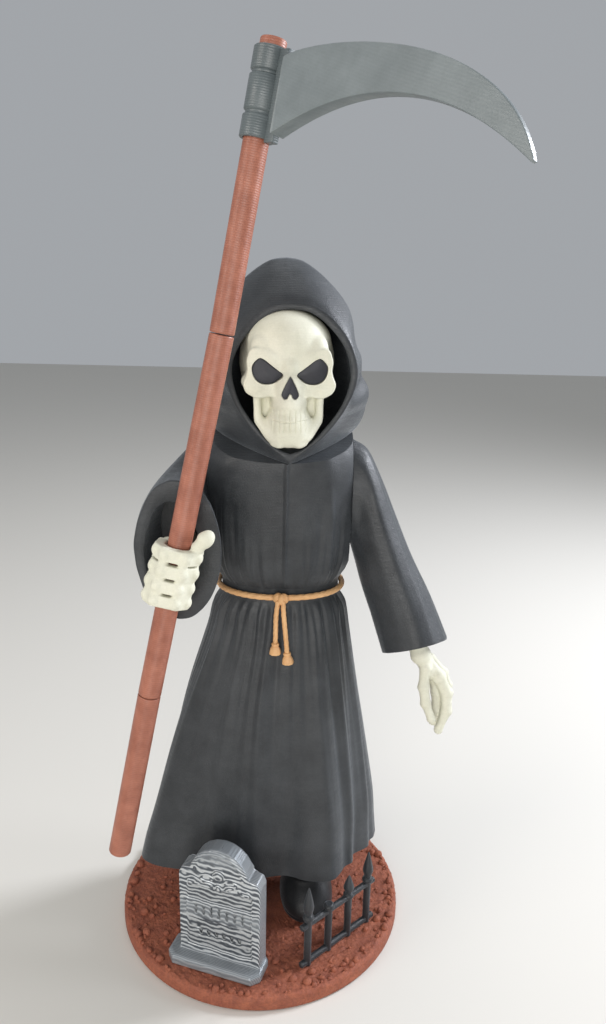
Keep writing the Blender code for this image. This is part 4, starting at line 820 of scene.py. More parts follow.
def makeSkull():
    heap = []
    lump(heap, (0, -8, 4), (24.2, 31, 27))
    lump(heap, (0, -17, 11), (22.4, 22.5, 18.8))
    # The forehead stands a little proud of the temples
    forehead = []
    lump(forehead, (0, -8, 4), (36.0, 31.3, 27.0))
    booleanWith(forehead[0], facePrism(bothHalves(skullShape["forehead"]), -60.0, -14.0, 0.0),
                "INTERSECT")
    heap += forehead
    heap.append(facePrism(bothHalves(skullShape["band"]), skullShape["bandFront"], -22.0, 0.5))
    lump(heap, (0, -27, 7), (19.0, 11.8, 13.0))
    lump(heap, (0, -37.0, 3.0), (4.4, 4.2, 6.0))
    lump(heap, (0, -33, -6), (8.6, 11.5, 10.0))
    lump(heap, (0, -31.5, -14), (9.0, 13.2, 9.5))
    lump(heap, (0, -31.5, -23), (10.8, 13.2, 9.0))
    for side in (-1, 1):
        lump(heap, (9.6 * side, -35.6, 8.4), (8.6, 4.0, 3.4), (0, -20 * side, 0))
        lump(heap, (12.5 * side, -30.0, 10.5), (7.0, 7.6, 8.0))
        lump(heap, (15.2 * side, -34.0, -7.0), (6.6, 5.9, 3.4), (0, 12 * side, -14 * side))
        lump(heap, (19.6 * side, -25, -5.2), (3.6, 10.0, 3.6), (0, 0, -6 * side))
        # Branch of the jaw, the shallow hollow beside it, the jaw's body and its corner
        bone(heap, (15.4 * side, -30, -8), (15.0 * side, -32, -21.5), 2.0, 2.2)
        lump(heap, (11.6 * side, -24.5, -16.0), (4.0, 5.4, 9.5))
        bone(heap, (14.2 * side, -32, -23.0), (6.6 * side, -37.6, -31.4), 2.8, 4.0)
        bone(heap, (3.5 * side, -38, -26), (4.6 * side, -38.4, -31.8), 5.0, 4.0)
        lump(heap, (4.8 * side, -38.2, -32.6), (4.0, 4.4, 3.3))
    lump(heap, (0, -37, -30), (8.0, 6.4, 5.8))
    bone(heap, (0, -4, -10), (0, -5, -40), 9.0, 9.0)
    skull = softened(joinHeap(heap), skullShape["firstVoxel"], 8)
    softened(skull, skullShape["voxel"], 3)
    finerWhere(skull, lambda m: (abs(m[:, 0]) < 10.5) & (m[:, 1] < -34) & (m[:, 2] > -31)
               & (m[:, 2] < -14))
    points, normals = cornersOf(skull), normalsOf(skull)
    x, y, z = points.T
    # Two rows of teeth, told apart by soft grooves
    width, bite = skullShape["toothWidth"], skullShape["bite"]
    across = (x / width - np.round(x / width)) * width
    rows = (np.clip((z - skullShape["gumFoot"]) / 1.4, 0, 1)
            * np.clip((skullShape["gumTop"] - z) / 1.4, 0, 1))
    teeth = rows * np.clip((9.4 - np.abs(x)) / 1.2, 0, 1) * (normals[:, 1] < -0.2)
    curve = bite + 0.012 * x ** 2
    groove = (bump(across, 0.3) * teeth + 1.1 * bump(z - curve, 0.36) * teeth
              + 0.4 * bump(z - skullShape["gumTop"] + 0.25 * np.cos(tau * x / width), 0.7)
              * (np.abs(x) < 9) * (y < -34))
    # Temples, cheeks and the furrow over the nose
    side = np.abs(x)
    hollow = (1.3 * bump(side - 21.0, 3.5) * bump(z - 10.5, 5.0) * bump(y + 24, 8.0)
              + 0.55 * bump(x, 1.5) * bump(z - 8.0, 4.5) * (y < -30)
              + 0.7 * bump(side - 8.0, 4.0) * bump(z + 33.0, 1.6) * (y < -36))
    points = points - normals * (skullShape["toothGroove"] * groove + hollow)[:, None]
    # The neck ends on the hood's floor
    foot = shoulders["height"] + skullShape["neckFoot"] - skullShape["place"][2]
    points[:, 2] = np.maximum(points[:, 2], foot + shoulders["slope"] * points[:, 1])
    moveCorners(skull, points)
    eye, nose = skullShape["eye"], bothHalves(skullShape["nose"])
    eyeDepths = (skullShape["eyeFloor"], skullShape["eyeFront"])
    holes = {"left_eye_insert": (eye, *eyeDepths),
             "right_eye_insert": (mirroredOutline(eye), *eyeDepths),
             "nose_insert": (nose, skullShape["noseFloor"], skullShape["noseFront"])}
    cutter = joinHeap([facePrism(outline, -60.0, floorY, 0.0)
                       for outline, floorY, _ in holes.values()])
    booleanWith(skull, cutter, "DIFFERENCE")
    skull.data.transform(skullPlace())
    finishObject(skull, "skull_bone", bonePla, "skull", smooth=40, slot="bone_print")
    for node, (outline, floorY, frontY) in holes.items():
        plate = facePrism(outline, frontY, floorY - 0.3, -skullShape["clearance"])
        bevelled(plate, 0.35, 2, 60)
        plate.data.transform(skullPlace())
        finishObject(plate, node + "_plate", socketPla, node, smooth=30, slot="socket_print")


makeSkull()
print("skull carved")


# Scythe: shaft in three lengths through the fist, collar and blade

scythe = {
    "grip": (-39.1, -65.6, 235.0), "shaftRadius": 5.6, "above": 111.8, "below": 65.3,
    "topLength": 119.9, "bottomLength": 89.5, "seam": 0.3,
    "middleLean": (11.68, 3.14), "topLean": (10.35, 3.2), "bottomLean": (11.1, 3.2),
    "collarWall": 1.6, "collarLength": 35.2, "collarFromTop": 3.7, "grooveWidth": 1.9,
    "grooveDepth": 0.9, "neckReach": 12.5, "neckThickness": 3.4, "neckStep": 0.8,
    "neckDrop": 1.4, "bladeLength": 122.6, "bladeRoot": 29.0, "bladeDrop": 1.6,
    "rootThickness": 8.0, "tipThickness": 2.6, "yaw": 45.0,
    "back": ((0, 0.5), (0.07, 0.66), (0.81, 0.83), (1.0, -0.79)),
    "cutting": ((0, -0.5), (0.39, 0.3), (0.71, -0.02), (0.993, -0.81)),
}


def leanAxis(lean):
    side, back = (math.radians(a) for a in lean)
    return Vector((math.sin(side), math.sin(back), math.cos(side))).normalized()


def alongAxis(point, axis):
    # Takes a shape made up +Z about the origin to stand along an axis at a point
    return Matrix.Translation(point) @ axis.to_track_quat("Z", "Y").to_matrix().to_4x4()


middleAxis = leanAxis(scythe["middleLean"])
topAxis = leanAxis(scythe["topLean"])
bottomAxis = leanAxis(scythe["bottomLean"])
gripPoint = Vector(metres(*scythe["grip"]))
upperSeam = gripPoint + middleAxis * scythe["above"] / 1000
lowerSeam = gripPoint - middleAxis * scythe["below"] / 1000
shaftTop = upperSeam + topAxis * scythe["topLength"] / 1000
collarMiddle = shaftTop - topAxis * (scythe["collarFromTop"] + scythe["collarLength"] / 2) / 1000


def bladeFrame():
    # Frame at the collar's middle: along the blade, up the shaft, across
    yaw = math.radians(scythe["yaw"])
    along = Vector((math.cos(yaw), -math.sin(yaw), 0))
    along = (along - topAxis * along.dot(topAxis)).normalized()
    rows = Matrix((along, topAxis, along.cross(topAxis).normalized())).transposed().to_4x4()
    return Matrix.Translation(collarMiddle) @ rows


def bezierPoints(corners, count):
    t = np.linspace(0, 1, count)[:, None]
    a, b, c, d = (np.array(corner, dtype=float) for corner in corners)
    return (1 - t) ** 3 * a + 3 * t * (1 - t) ** 2 * b + 3 * t * t * (1 - t) * c + t ** 3 * d


def makeShaft():
    radius, seam = scythe["shaftRadius"], scythe["seam"]
    joint = seam / 2 + radius * math.sin(topAxis.angle(middleAxis))
    lowJoint = seam / 2 + radius * math.sin(bottomAxis.angle(middleAxis))
    middleLength = scythe["above"] + scythe["below"] - seam / 2 - lowJoint
    runs = {"shaft_top": (upperSeam + topAxis * joint / 1000, topAxis,
                          scythe["topLength"] - joint),
            "shaft_middle": (lowerSeam + middleAxis * lowJoint / 1000, middleAxis, middleLength),
            "shaft_bottom": (lowerSeam - bottomAxis * scythe["bottomLength"] / 1000, bottomAxis,
                             scythe["bottomLength"] - seam / 2)}
    for node, (foot, axis, length) in runs.items():
        # Rounded ends, then even rings along the length
        profile = [(0.01, 0.0), (radius - 0.7, 0.0), (radius - 0.25, 0.12), (radius - 0.03, 0.5)]
        profile += [(radius, h) for h in np.linspace(1.0, length - 1.0, 40)]
        profile += [(radius - 0.03, length - 0.5), (radius - 0.25, length - 0.12),
                    (radius - 0.7, length), (0.01, length)]
        piece = rolledSkin(turnedRings(profile, 72, alongAxis(foot, axis)))
        finishObject(piece, node + "_rod", woodPla, node, smooth=40, slot="wood_print")


def makeCollar():
    half, deep = scythe["collarLength"] / 2, scythe["grooveDepth"]
    wide = scythe["grooveWidth"] / 2
    inner = scythe["shaftRadius"] + 0.3
    outer = inner + scythe["collarWall"]
    profile = [(inner, half - 0.3), (inner + 0.3, half), (outer - 0.4, half), (outer, half - 0.4)]
    for spot in (0.22 * scythe["collarLength"], -0.22 * scythe["collarLength"]):
        profile += [(outer, spot + wide + 0.35), (outer - 0.2, spot + wide),
                    (outer - deep, spot + wide / 2), (outer - deep, spot - wide / 2),
                    (outer - 0.2, spot - wide), (outer, spot - wide - 0.35)]
    profile += [(outer, 0.4 - half), (outer - 0.4, -half), (inner + 0.3, -half),
                (inner, 0.3 - half)]
    collar = rolledSkin(turnedRings(profile, 96, alongAxis(collarMiddle, topAxis)), tube=True)
    # The neck starts inside the collar's wall and ends a little short of the blade
    start, end = inner + scythe["collarWall"] * 0.5, scythe["neckReach"] - 0.3
    tall = 2 * half - scythe["neckStep"] + scythe["neckDrop"]
    lower = (scythe["neckStep"] + scythe["neckDrop"]) / 2
    bpy.ops.mesh.primitive_cube_add(size=1.0)
    neck = bpy.context.object
    neck.data.transform(Matrix.Diagonal(((end - start) / 1000, tall / 1000,
                                         scythe["neckThickness"] / 1000, 1.0)))
    bevelled(neck, 0.0004, 3, 30)
    neck.data.transform(bladeFrame() @ Matrix.Translation(((end + start) / 2000,
                                                           -lower / 1000, 0)))
    finishObject(joinHeap([collar, neck]), "blade_collar_sleeve", collarPla, "blade_collar",
                 smooth=35, slot="collar_print")


def makeBlade():
    # Outline in shares of the length and root height, its rim eased all round
    back, cutting = bezierPoints(scythe["back"], 90), bezierPoints(scythe["cutting"], 90)
    middle = (back + cutting) / 2
    size = np.array((scythe["bladeLength"], scythe["bladeRoot"]))
    outline = np.vstack([back, cutting[::-1]])
    taper = scythe["tipThickness"] - scythe["rootThickness"]
    thickness = scythe["rootThickness"] + taper * outline[:, 0]
    flat = outline * size
    inward = np.vstack([middle, middle[::-1]]) * size - flat
    away = np.hypot(*inward.T)
    room = np.minimum(1.0, away / 1.2)
    inward = inward / np.maximum(away, 0.001)[:, None]
    place = np.array(bladeFrame())
    rings = []
    # across the thickness: share of the half thickness, inset from the rim in mm
    for level, inset in ((-1.0, 0.5), (-1.0, 0.35), (-0.94, 0.08), (-0.85, 0.0), (0.85, 0.0),
                         (0.94, 0.08), (1.0, 0.35), (1.0, 0.5)):
        edge = flat + inward * (inset * room)[:, None]
        local = np.stack([scythe["neckReach"] + edge[:, 0], edge[:, 1] - scythe["bladeDrop"],
                          level * thickness / 2], axis=1) / 1000
        rings.append(local @ place[:3, :3].T + place[:3, 3])
    finishObject(rolledSkin(rings), "scythe_blade_curve", bladePla, "scythe_blade", smooth=28,
                 slot="blade_print")


makeShaft()
makeCollar()
makeBlade()
print("scythe made")


# Hands

fist = {
    # height up the shaft and shift to the side of each finger, from the first to the last
    "fingers": [(9.8, 0.4), (1.9, 0.1), (-5.6, -0.4), (-12.8, -0.6)],
    "stops": [(-8.6, 5.0), (-9.4, -3.6), (-5.2, -8.8), (4.4, -9.2), (9.0, -4.6), (7.8, 2.4)],
    "thickness": 4.5, "height": 6.8, "voxel": 0.46, "clear": 5.95,
    "sleeveEnd": -24.0,
}


def makeFist():
    heap = []
    for k, (height, shift) in enumerate(fist["fingers"]):
        tall = fist["height"] - (0.5 if k == 3 else 0.0)
        stops = [(x + shift, y, height) for x, y in fist["stops"]]
        for i, (near, far) in enumerate(zip(stops, stops[1:])):
            waist = 0.9 if i == 2 else 1.0
            block(heap, near, far, fist["thickness"], tall * waist, 0.8)
        for i in (1, 2, 3, 4):
            lump(heap, stops[i], (3.1, 3.1, tall * 0.52))
    # The slits between the fingers are short: closed towards the knuckles
    for (upper, _), (lower, _) in zip(fist["fingers"], fist["fingers"][1:]):
        for x, y in ((-4.8, -8.6), (4.2, -9.0)):
            lump(heap, (x, y, (upper + lower) / 2), (2.3, 2.2, 2.4))
    lump(heap, (-6.5, 8.5, -1.5), (6.4, 5.6, 14.6))
    lump(heap, (2.0, 9.5, 0.5), (8.6, 5.0, 12.6))
    bone(heap, (3.0, 8.0, 5.0), (8.2, 0.5, 11.0), 4.4, 3.8)
    bone(heap, (8.4, 0.0, 11.4), (8.9, -4.4, 14.2), 3.4, 3.0)
    bone(heap, (9.0, -4.8, 14.8), (11.5, -6.0, 19.8), 3.0, 3.5, 1.1)
    lump(heap, (11.9, -6.1, 19.8), (3.8, 3.6, 5.0), (0, 26, 0))
    wristEnd = fist["sleeveEnd"] - scythe["grip"][1] - 7.0
    bone(heap, (0.0, 11.0, 2.0), (-1.0, wristEnd, 6.0), 6.6, 6.6)
    hand = softened(joinHeap(heap), fist["voxel"], 4)
    # Nothing of the hand reaches into the shaft
    points = cornersOf(hand)
    across = np.hypot(points[:, 0], points[:, 1])
    grow = np.maximum(1.0, fist["clear"] / np.maximum(across, 0.01))
    points[:, :2] *= np.where(across < fist["clear"], grow, 1.0)[:, None]
    moveCorners(hand, points)
    forward = Vector((0, 1, 0))
    forward = (forward - middleAxis * forward.dot(middleAxis)).normalized()
    rows = Matrix((forward.cross(middleAxis).normalized(), forward, middleAxis))
    hand.data.transform(Matrix.Translation(gripPoint) @ rows.transposed().to_4x4()
                        @ Matrix.Scale(0.001, 4))
    finishObject(hand, "right_hand_fist", bonePla, "right_hand", smooth=45, slot="bone_print")


openHand = {
    "voxel": 0.45,
    # points from the wrist to each tip with the radius there, in mm from the soles
    "bones": [
        [(80.4, -16.0, 187.2, 5.6), (87.4, -21.0, 172, 5.4), (92.4, -21.5, 163, 4.6)],
        [(84.0, -17.5, 184, 2.6), (90.0, -23.6, 166, 3.4), (89.4, -26, 155, 3.3),
         (91.0, -26.5, 145.4, 3.0), (94.8, -26, 135.6, 2.5)],
        [(90.6, -20, 170, 2.8), (97.6, -23.4, 160.4, 4.0), (102.8, -22.4, 150, 3.7),
         (103.4, -22.8, 139, 3.3), (99.6, -24, 127.6, 2.4)],
        [(92.0, -18, 168, 2.8), (95.6, -20, 158, 3.6), (98.0, -18.6, 148, 3.3),
         (98.4, -19, 138, 2.9), (96.8, -20.4, 131, 2.4)],
        [(94.0, -16, 168, 2.6), (100.4, -18, 160, 3.4), (104.2, -15.4, 151, 3.1),
         (104.4, -15.4, 142, 2.8), (102.4, -16.4, 134, 2.3)],
        [(88.0, -14.6, 174, 3.2), (92.0, -15, 166, 4.2), (92.8, -11, 157.6, 3.3),
         (94.0, -10, 149, 2.8)],
    ],
}


def makeOpenHand():
    heap = []
    for chain in openHand["bones"]:
        for near, far in zip(chain, chain[1:]):
            # A bone is slimmer half way along than at its knuckles
            middle = [(a + b) / 2 for a, b in zip(near, far)]
            slim = middle[3] * 0.84
            bone(heap, near[:3], middle[:3], near[3], slim)
            bone(heap, middle[:3], far[:3], slim, far[3], 1.07)
    hand = softened(joinHeap(heap), openHand["voxel"], 4)
    hand.data.transform(fromSoles())
    finishObject(hand, "left_hand_bones", bonePla, "left_hand", smooth=45, slot="bone_print")


makeFist()
makeOpenHand()
print("hands made")


# Base of earth: a fuzzy printed skin with half-sunk pebbles

earth = {
    "radius": 85.0, "height": 8.0, "round": 2.6, "around": 500, "grain": 0.34,
    "pebbles": 270, "nearest": 40.0, "farthest": 82.0, "smallest": 1.0, "largest": 2.9,
    "seed": 7, "plinthRoom": (30.5, 13.0), "postRoom": 5.5, "backShare": 0.45,
}
tomb = {
    "place": (-21.0, -60.5), "yaw": -18.0, "plinth": (55.8, 20.5, 5.5), "setback": 7.5,
    "shift": 2.0, "stone": (47.8, 10.5, 70.0), "arch": 16.8, "frame": 4.6,
    "band": (22.5, 35.0), "voxel": 0.5,
    # height, half length and number of the strokes in each row, and their pitch and depth
    "strokes": [(28.75, 2.9, 7), (13.0, 1.4, 6)], "strokePitch": 4.6, "strokeDepth": 0.7,
    # place across and up, radius and depth of each pit or chip
    "chips": [(-12.6, 16.0, 1.6, 0.8), (-4.4, 45.4, 1.5, 0.9), (15.8, 7.6, 2.2, 0.9),
              (9.6, 11.0, 1.2, 0.5), (-20.6, 50.0, 1.8, 0.5), (4.2, 67.0, 1.6, 0.7)],
}
railing = {
    "place": (29.0, -61.3), "yaw": 43.0, "pitch": 15.9, "post": 2.1, "rail": 1.8, "stub": 5.2,
    "lift": 0.3, "upperRail": 27.2, "heights": (51.5, 31.8, 41.8, 49.0),
    "spears": (17.8, 0.0, 11.8, 17.2),
}


def standFrame(place, yaw):
    # Frame on top of the base, in metres, for what is made in mm
    return (Matrix.Translation((place[0] / 1000, place[1] / 1000, soleHeight / 1000))
            @ Matrix.Rotation(math.radians(yaw), 4, "Z") @ Matrix.Scale(0.001, 4))


def baseRows():
    # Radius and height of each ring, from the middle of the top over the rim to the underside
    radius, height, soft = earth["radius"], earth["height"], earth["round"]
    rows = [(r, height) for r in np.concatenate([[0.05], np.linspace(4, 40, 22),
                                                 np.arange(41.0, radius - soft, 1.0)])]
    for angle in np.linspace(90, 0, 6):
        lean = math.radians(angle)
        rows.append((radius - soft + soft * math.cos(lean),
                     height - soft + soft * math.sin(lean)))
    rows += [(radius, h) for h in (4.4, 3.4, 2.4, 1.4, 0.6)] + [(radius - 0.4, 0.0)]
    return rows + [(r, 0.0) for r in (60.0, 20.0, 0.05)]


def makeBase():
    rng = np.random.default_rng(earth["seed"])
    turn = roundTurn(earth["around"])
    rings = []
    for reach, z in baseRows():
        # The fuzzy skin: every corner stands in or out a little, but not where it is hidden
        rough = rng.uniform(-1, 1, len(turn))
        rough = (rough + np.roll(rough, 1)) * 0.7 * earth["grain"]
        onTop = z > earth["height"] - 0.05
        grown = 0.0 if z < 1.0 or onTop else 1.0
        r = np.minimum(reach - grown * 0.12 + rough * grown, earth["radius"])
        lift = rough * (1.4 if onTop and reach > 30 else (0.4 if z > 6 else 0.0))
        rings.append(np.stack([r * np.cos(turn), r * np.sin(turn), z + lift], axis=1) / 1000)
    heap = [rolledSkin(rings)]
    fenceAt = standFrame(railing["place"], railing["yaw"])
    posts = [fenceAt @ Vector((railing["pitch"] * k / 2, 0, 0)) * 1000 for k in range(7)]
    acrossRoom, alongRoom = earth["plinthRoom"]
    made = 0
    while made < earth["pebbles"]:
        angle = rng.uniform(0, tau)
        # Most of them lie near the rim, and more at the front
        reach = earth["farthest"] - (earth["farthest"] - earth["nearest"]) * rng.random() ** 2.6
        if math.sin(angle) > 0 and rng.random() < earth["backShare"]:
            continue
        x, y = reach * math.cos(angle), reach * math.sin(angle)
        inTomb = Matrix.Rotation(math.radians(-tomb["yaw"]), 2) @ Vector(
            (x - tomb["place"][0], y - tomb["place"][1]))
        if abs(inTomb.x) < acrossRoom and abs(inTomb.y) < alongRoom:
            continue
        if any(math.hypot(x - post.x, y - post.y) < earth["postRoom"] for post in posts):
            continue
        size = earth["smallest"] + (earth["largest"] - earth["smallest"]) * rng.random() ** 2.2
        bpy.ops.mesh.primitive_ico_sphere_add(
            subdivisions=2, radius=size / 1000,
            location=(x / 1000, y / 1000, (earth["height"] + 0.08 * size) / 1000),
            rotation=tuple(rng.uniform(0, 3, 3)))
        bpy.context.object.scale = (1.0, rng.uniform(0.75, 1.0), rng.uniform(0.7, 1.0))
        heap.append(bpy.context.object)
        made += 1
    finishObject(joinHeap(heap), "earth_base_ground", earthPla, "earth_base", smooth=60,
                 slot="earth_print")


def stoneRelief(x, z):
    # What stands proud of the stone's face, in mm, by place across and up. The band across
    # the panel is plump, and lifts towards the left
    inner = tomb["stone"][0] / 2 - tomb["frame"]
    foot, top = tomb["band"]
    middle = (foot + top) / 2 + 0.02 * x
    plump = np.clip(1 - ((z - middle) / ((top - foot) / 2 + 0.6)) ** 2, 0, 1)
    lift = 0.75 * plump * (np.abs(x) < inner)
    # Arch rim and the curling leaf work under it
    spring = tomb["stone"][2] - tomb["arch"]
    reach = np.hypot(x, z - spring)
    lift = lift + 0.55 * bump(reach - tomb["arch"] + 2.6, 0.9) * (z > spring + 1.5)
    for side in (-1, 1):
        u, v = side * x, z - spring
        lift = lift + 0.7 * bump(np.hypot(u - 7.0, v + 2.6) - 3.0, 0.8) * (v > -3.4)
        lift = lift + 0.55 * bump(np.hypot((u - 14.5) / 1.5, v + 5.4) - 2.0, 0.7)
        lift = lift + 0.5 * bump(v + 7.8 - 0.06 * u * u, 0.7) * bump(u - 4.0, 4.0)
    for across, up, size, deep in tomb["chips"]:
        lift = lift - deep * bump(np.hypot(x - across, z - up), size)
    return lift


def stoneStrokes(x, z):
    # 1 in the rows of plain strokes, deepened so that they read through the bands
    strokes = 0.0
    for row, length, number in tomb["strokes"]:
        tall = bump(np.maximum(np.abs(z - row) - length, 0), 0.5)
        for i in range(number):
            away = np.abs(x - (i - (number - 1) / 2) * tomb["strokePitch"])
            strokes = strokes + bump(away, 0.75) * tall
    return strokes


def makeTombstone():
    # The node's own shape as one soft skin, with its carving raised and worn
    stone = nodeCopy("tombstone")
    place = standFrame(tomb["place"], tomb["yaw"])
    stone.data.transform(place.inverted())
    softened(stone, tomb["voxel"], 4)
    points, normals = cornersOf(stone), normalsOf(stone)
    x = points[:, 0] - tomb["shift"]
    z = points[:, 2] - tomb["plinth"][2]
    front = -tomb["plinth"][1] / 2 + tomb["setback"]
    facing = np.clip((-normals[:, 1] - 0.5) / 0.4, 0, 1) * (points[:, 1] < front + 2.5) * (z > 1)
    wear = (np.sin(x * 0.9 + 1.3) * np.sin(z * 0.7 + 0.5 * x) + np.sin(z * 1.9 + x * 0.4)) * 0.1
    strokes = stoneStrokes(x, z)
    lift = (stoneRelief(x, z) - tomb["strokeDepth"] * strokes + wear) * facing
    # How deep each corner lies behind the frame, to paint shade into what is carved
    behind = np.clip((points[:, 1] - front - lift) / 1.4, 0, 1) * facing
    # Painted shade: the recesses and the strokes are darkened in the colour, as if shadowed
    carvingShade = np.clip(0.45 * behind + 0.8 * strokes * facing, 0, 1)
    carved = stone.data.attributes.new("carved", "FLOAT", "POINT")
    carved.data.foreach_set("value", carvingShade.astype(np.float32))
    points = points + normals * lift[:, None]
    # The foot stays on the base
    points[:, 2] = np.maximum(points[:, 2], 0.0)
    moveCorners(stone, points)
    stone.data.transform(place)
    finishObject(stone, "tombstone_carved", stonePla, "tombstone", smooth=50, slot="stone_print")


def makeFence():
    place = standFrame(railing["place"], railing["yaw"])
    post, rail, heap = railing["post"], railing["rail"], []
    run = railing["pitch"] * 3
    for height in (rail + railing["lift"], railing["upperRail"]):
        foot = place @ Vector((-railing["stub"], 0, height))
        axis = (place @ Vector((1, 0, 0)) - place @ Vector((0, 0, 0))).normalized()
        length = run + 2 * railing["stub"]
        profile = [(0.01, 0), (rail - 0.5, 0), (rail, 0.5)]
        profile += [(rail * (1 + 0.03 * math.sin(1.7 * h)), h)
                    for h in np.linspace(2, length - 2, 26)]
        profile += [(rail, length - 0.5), (rail - 0.5, length), (0.01, length)]
        heap.append(rolledSkin(turnedRings(profile, 20, alongAxis(foot, axis))))
    for i, (height, spear) in enumerate(zip(railing["heights"], railing["spears"])):
        foot = place @ Vector((railing["pitch"] * i, 0, 0))
        ring = post * 1.5
        neck = height - spear if spear else height
        profile = [(0.01, 0), (post, 0.0), (post, neck - 3.6), (ring * 0.94, neck - 2.9),
                   (ring, neck - 2.3), (ring, neck - 1.5), (ring * 0.94, neck - 0.9)]
        if spear:
            profile += [(post * 0.92, neck - 0.1), (post * 0.95, neck + 0.4),
                        (post * 1.42, neck + spear * 0.24), (post * 1.47, neck + spear * 0.3),
                        (post * 1.2, neck + spear * 0.48), (post * 0.7, neck + spear * 0.74),
                        (post * 0.28, height - 0.9), (0.05, height)]
        else:
            profile += [(post * 0.9, height - 0.1), (post * 0.5, height - 0.3), (0.01, height)]
        heap.append(rolledSkin(turnedRings(profile, 24, alongAxis(foot, Vector((0, 0, 1))))))
    finishObject(joinHeap(heap), "fence_rails", fencePla, "fence", smooth=40,
                 slot="black_print")


boots = {
    "left_boot": (28.0, -12.0, 6.0), "right_boot": (-21.0, -10.0, -8.0),
    "top": 65.7, "around": 96,
    # height, half width, half length and shift backwards
    "sections": [(0.0, 13.6, 19.0, 0.0), (0.5, 14.6, 20.2, 0.0), (1.6, 15.3, 21.2, 0.0),
                 (6.0, 16.0, 22.0, 0.2), (11.0, 15.6, 21.0, 1.0), (16.0, 14.4, 18.4, 2.6),
                 (21.0, 12.6, 15.0, 4.4), (27.0, 11.2, 12.4, 5.6), (65.7, 10.6, 11.6, 6.0)],
}


def makeBoot(node):
    middleX, middleY, toeTurn = boots[node]
    turn = roundTurn(boots["around"])
    lean = math.radians(toeTurn)
    rings = []
    for height, halfX, halfY, shift in smoothRows(boots["sections"], 7):
        # A shallow groove tells the sole from the upper
        inset = 0.45 * math.exp(-((height - 3.4) / 0.5) ** 2)
        x = (halfX - inset) * signedPower(np.cos(turn), 0.9)
        y = (halfY - inset) * signedPower(np.sin(turn), 0.9) + shift
        rings.append(metres(middleX + x * math.cos(lean) - y * math.sin(lean),
                            middleY + x * math.sin(lean) + y * math.cos(lean), height))
    finishObject(rolledSkin(rings), node + "_shoe", bootPla, node, smooth=50,
                 slot="black_print")


makeBase()
makeTombstone()
makeFence()
for bootNode in ("left_boot", "right_boot"):
    makeBoot(bootNode)
print("ground, stone and fence made")


# Rope belt: a laid rope with its knot and two tasselled ends

rope = {
    "radius": 1.65, "middle": (9.2, 0.0, 206.0), "halfX": 34.35, "halfY": 26.45, "lay": 4.2,
    "around": 300, "strands": 3, "strandRadius": 1.35, "strandLay": 3.4,
    # x and height down the short end and the long one
    "ends": [[(9.0, 205.6), (8.1, 197.0), (8.0, 189.0), (7.9, 182.0)],
             [(11.6, 205.6), (12.2, 197.0), (13.3, 186.0), (14.2, 176.5)]],
    "front": -27.8,
    # drop and radius down each tassel: a binding, then a bell of threads
    "tassel": [(0.0, 1.5), (0.3, 2.0), (1.1, 2.15), (1.7, 1.7), (2.3, 2.1), (3.6, 2.7),
               (5.4, 3.05), (6.3, 3.0), (6.5, 2.5), (6.5, 0.5)],
    # place, half sizes and lean of each turn of the knot
    "knot": [((8.8, -28.2, 206.6), (2.6, 2.2, 2.9), 24),
             ((12.2, -28.3, 206.4), (2.4, 2.2, 2.9), -24),
             ((10.5, -29.3, 206.2), (1.9, 2.3, 3.2), 8)], "knotVoxel": 0.22,
}


def ropeSection(radius, twist, depth=0.14, count=18):
    # A round section with a lobe for each strand, turned by the lay so far
    turn = roundTurn(count)
    size = radius * (1 - depth + depth * np.abs(np.cos((turn - twist) * rope["strands"] / 2)))
    return size * np.cos(turn), size * np.sin(turn)


def waistRope():
    # The closed run round the waist
    rings, around = [], rope["around"]
    length = 2 * math.pi * math.sqrt((rope["halfX"] ** 2 + rope["halfY"] ** 2) / 2)
    turns = round(length / rope["lay"])
    x, y, z = rope["middle"]
    for i in range(around):
        angle = tau * i / around
        out = np.array([signedPower(math.cos(angle), 0.94) * rope["halfX"],
                        signedPower(math.sin(angle), 0.94) * rope["halfY"]])
        normal = np.array([math.cos(angle) / rope["halfX"], math.sin(angle) / rope["halfY"]])
        normal = normal / np.hypot(*normal)
        across, up = ropeSection(rope["radius"], tau * turns * i / around / rope["strands"])
        rings.append(metres(x + out[0] + normal[0] * across, y + out[1] + normal[1] * across,
                            z + up))
    return rolledSkin(rings, tube=True)


def strandRing(point, axis, across, up):
    # A section set square to the strand at a point of it
    first = np.cross(axis, (0, 1, 0))
    first = first / np.linalg.norm(first)
    second = np.cross(axis, first)
    return metres(*(point + across[:, None] * first + up[:, None] * second).T)


def hangingEnd(stops):
    # A strand through the stops, then its tassel
    line = smoothRows([(x, rope["front"] - 2.2 - 0.3 * i, z) for i, (x, z) in enumerate(stops)],
                      14)
    rings, travelled = [], 0.0
    for i, point in enumerate(line):
        run = line[min(i + 1, len(line) - 1)] - line[max(i - 1, 0)]
        axis = run / np.linalg.norm(run)
        travelled += np.linalg.norm(run) / 2
        across, up = ropeSection(rope["strandRadius"],
                                 tau * travelled / rope["strandLay"] / rope["strands"])
        rings.append(strandRing(point, axis, across, up))
    down = (line[-1] - line[-2]) / np.linalg.norm(line[-1] - line[-2])
    turn = roundTurn(18)
    for drop, size in rope["tassel"]:
        threads = 1 + (0.05 * np.cos(9 * turn) if drop > 2 else 0.0)
        rings.append(strandRing(line[-1] + down * drop, down, size * threads * np.cos(turn),
                                size * threads * np.sin(turn)))
    return rolledSkin(rings)


def makeBelt():
    heap = [waistRope()] + [hangingEnd(stops) for stops in rope["ends"]]
    knot = []
    for place, sizes, lean in rope["knot"]:
        lump(knot, place, sizes, (0, lean, 0))
    fused = softened(joinHeap(knot), rope["knotVoxel"], 3)
    fused.data.transform(fromSoles())
    heap.append(fused)
    finishObject(joinHeap(heap), "rope_belt_knotted", ropePla, "rope_belt", smooth=60,
                 slot="rope_print")


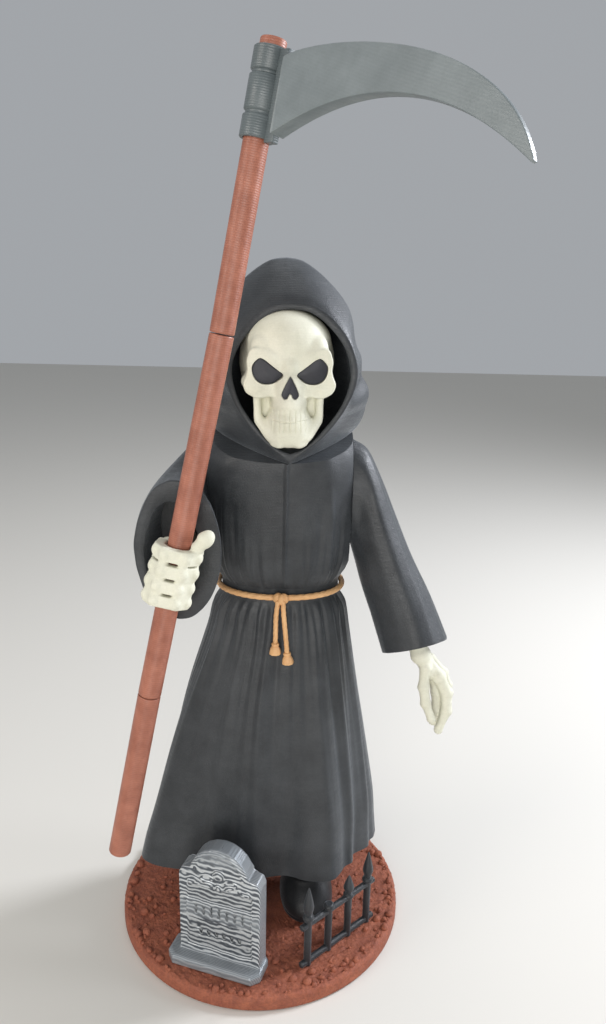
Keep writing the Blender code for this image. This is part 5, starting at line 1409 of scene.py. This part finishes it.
makeBelt()
print("belt tied")


# Camera, light and floor

def makeStage():
    stage = {"floor": 6.0, "floorTone": "d3d0c9", "worldTone": "c9cdd2", "worldLight": 0.62,
             "cameraPlace": (0.0211, -0.4203, 0.3779), "pitch": 16.4, "roll": 1.27,
             "lens": 28.125}
    bpy.ops.mesh.primitive_plane_add(size=stage["floor"], location=(0, 0, -0.0004))
    floor = bpy.context.object
    floor.name = "floor"
    paper = bpy.data.materials.new("palePaper")
    paper.use_nodes = True
    shader = paper.node_tree.nodes["Principled BSDF"]
    shader.inputs["Base Color"].default_value = srgb(stage["floorTone"])
    shader.inputs["Roughness"].default_value = 0.8
    floor.data.materials.append(paper)
    world = bpy.data.worlds.new("studio")
    world.use_nodes = True
    world.node_tree.nodes["Background"].inputs["Color"].default_value = srgb(stage["worldTone"])
    world.node_tree.nodes["Background"].inputs["Strength"].default_value = stage["worldLight"]
    bpy.context.scene.world = world
    # place, aim, size in metres, power in watts and tint
    lamps = {"frontSoft": ((-0.1, -1.3, 0.42), 0.9, 10.0, "fffcf8"),
             "leftSoft": ((-0.9, -0.5, 0.7), 0.6, 4.0, "fff8f0"),
             "rightRim": ((0.9, 0.34, 0.8), 0.3, 13.0, "f4f7ff"),
             "rightSide": ((1.2, -0.1, 0.45), 0.3, 4.0, "f4f7ff"),
             "topSoft": ((0.0, 0.2, 1.5), 0.9, 2.5, "ffffff")}
    for name, (place, size, power, tint) in lamps.items():
        bpy.ops.object.light_add(type="AREA", location=place)
        lamp = bpy.context.object
        lamp.name = name
        lamp.data.shape = "DISK"
        lamp.data.size = size
        lamp.data.energy = power
        lamp.data.color = srgb(tint)[:3]
        aim = Vector((0.0, 0.0, 0.22)) - Vector(place)
        lamp.rotation_euler = aim.to_track_quat("-Z", "Y").to_euler()
    pitch, roll = math.radians(stage["pitch"]), math.radians(stage["roll"])
    bpy.ops.object.camera_add(location=stage["cameraPlace"])
    camera = bpy.context.object
    camera.name = "photoCamera"
    camera.data.lens = stage["lens"]
    camera.data.sensor_width = 36.0
    camera.data.clip_start = 0.01
    look = Matrix.Rotation(math.pi / 2 - pitch, 4, "X") @ Matrix.Rotation(roll, 4, "Z")
    camera.rotation_euler = look.to_euler()
    bpy.context.scene.camera = camera
    bpy.context.scene.view_settings.view_transform = "Standard"


makeStage()
print("stage set")
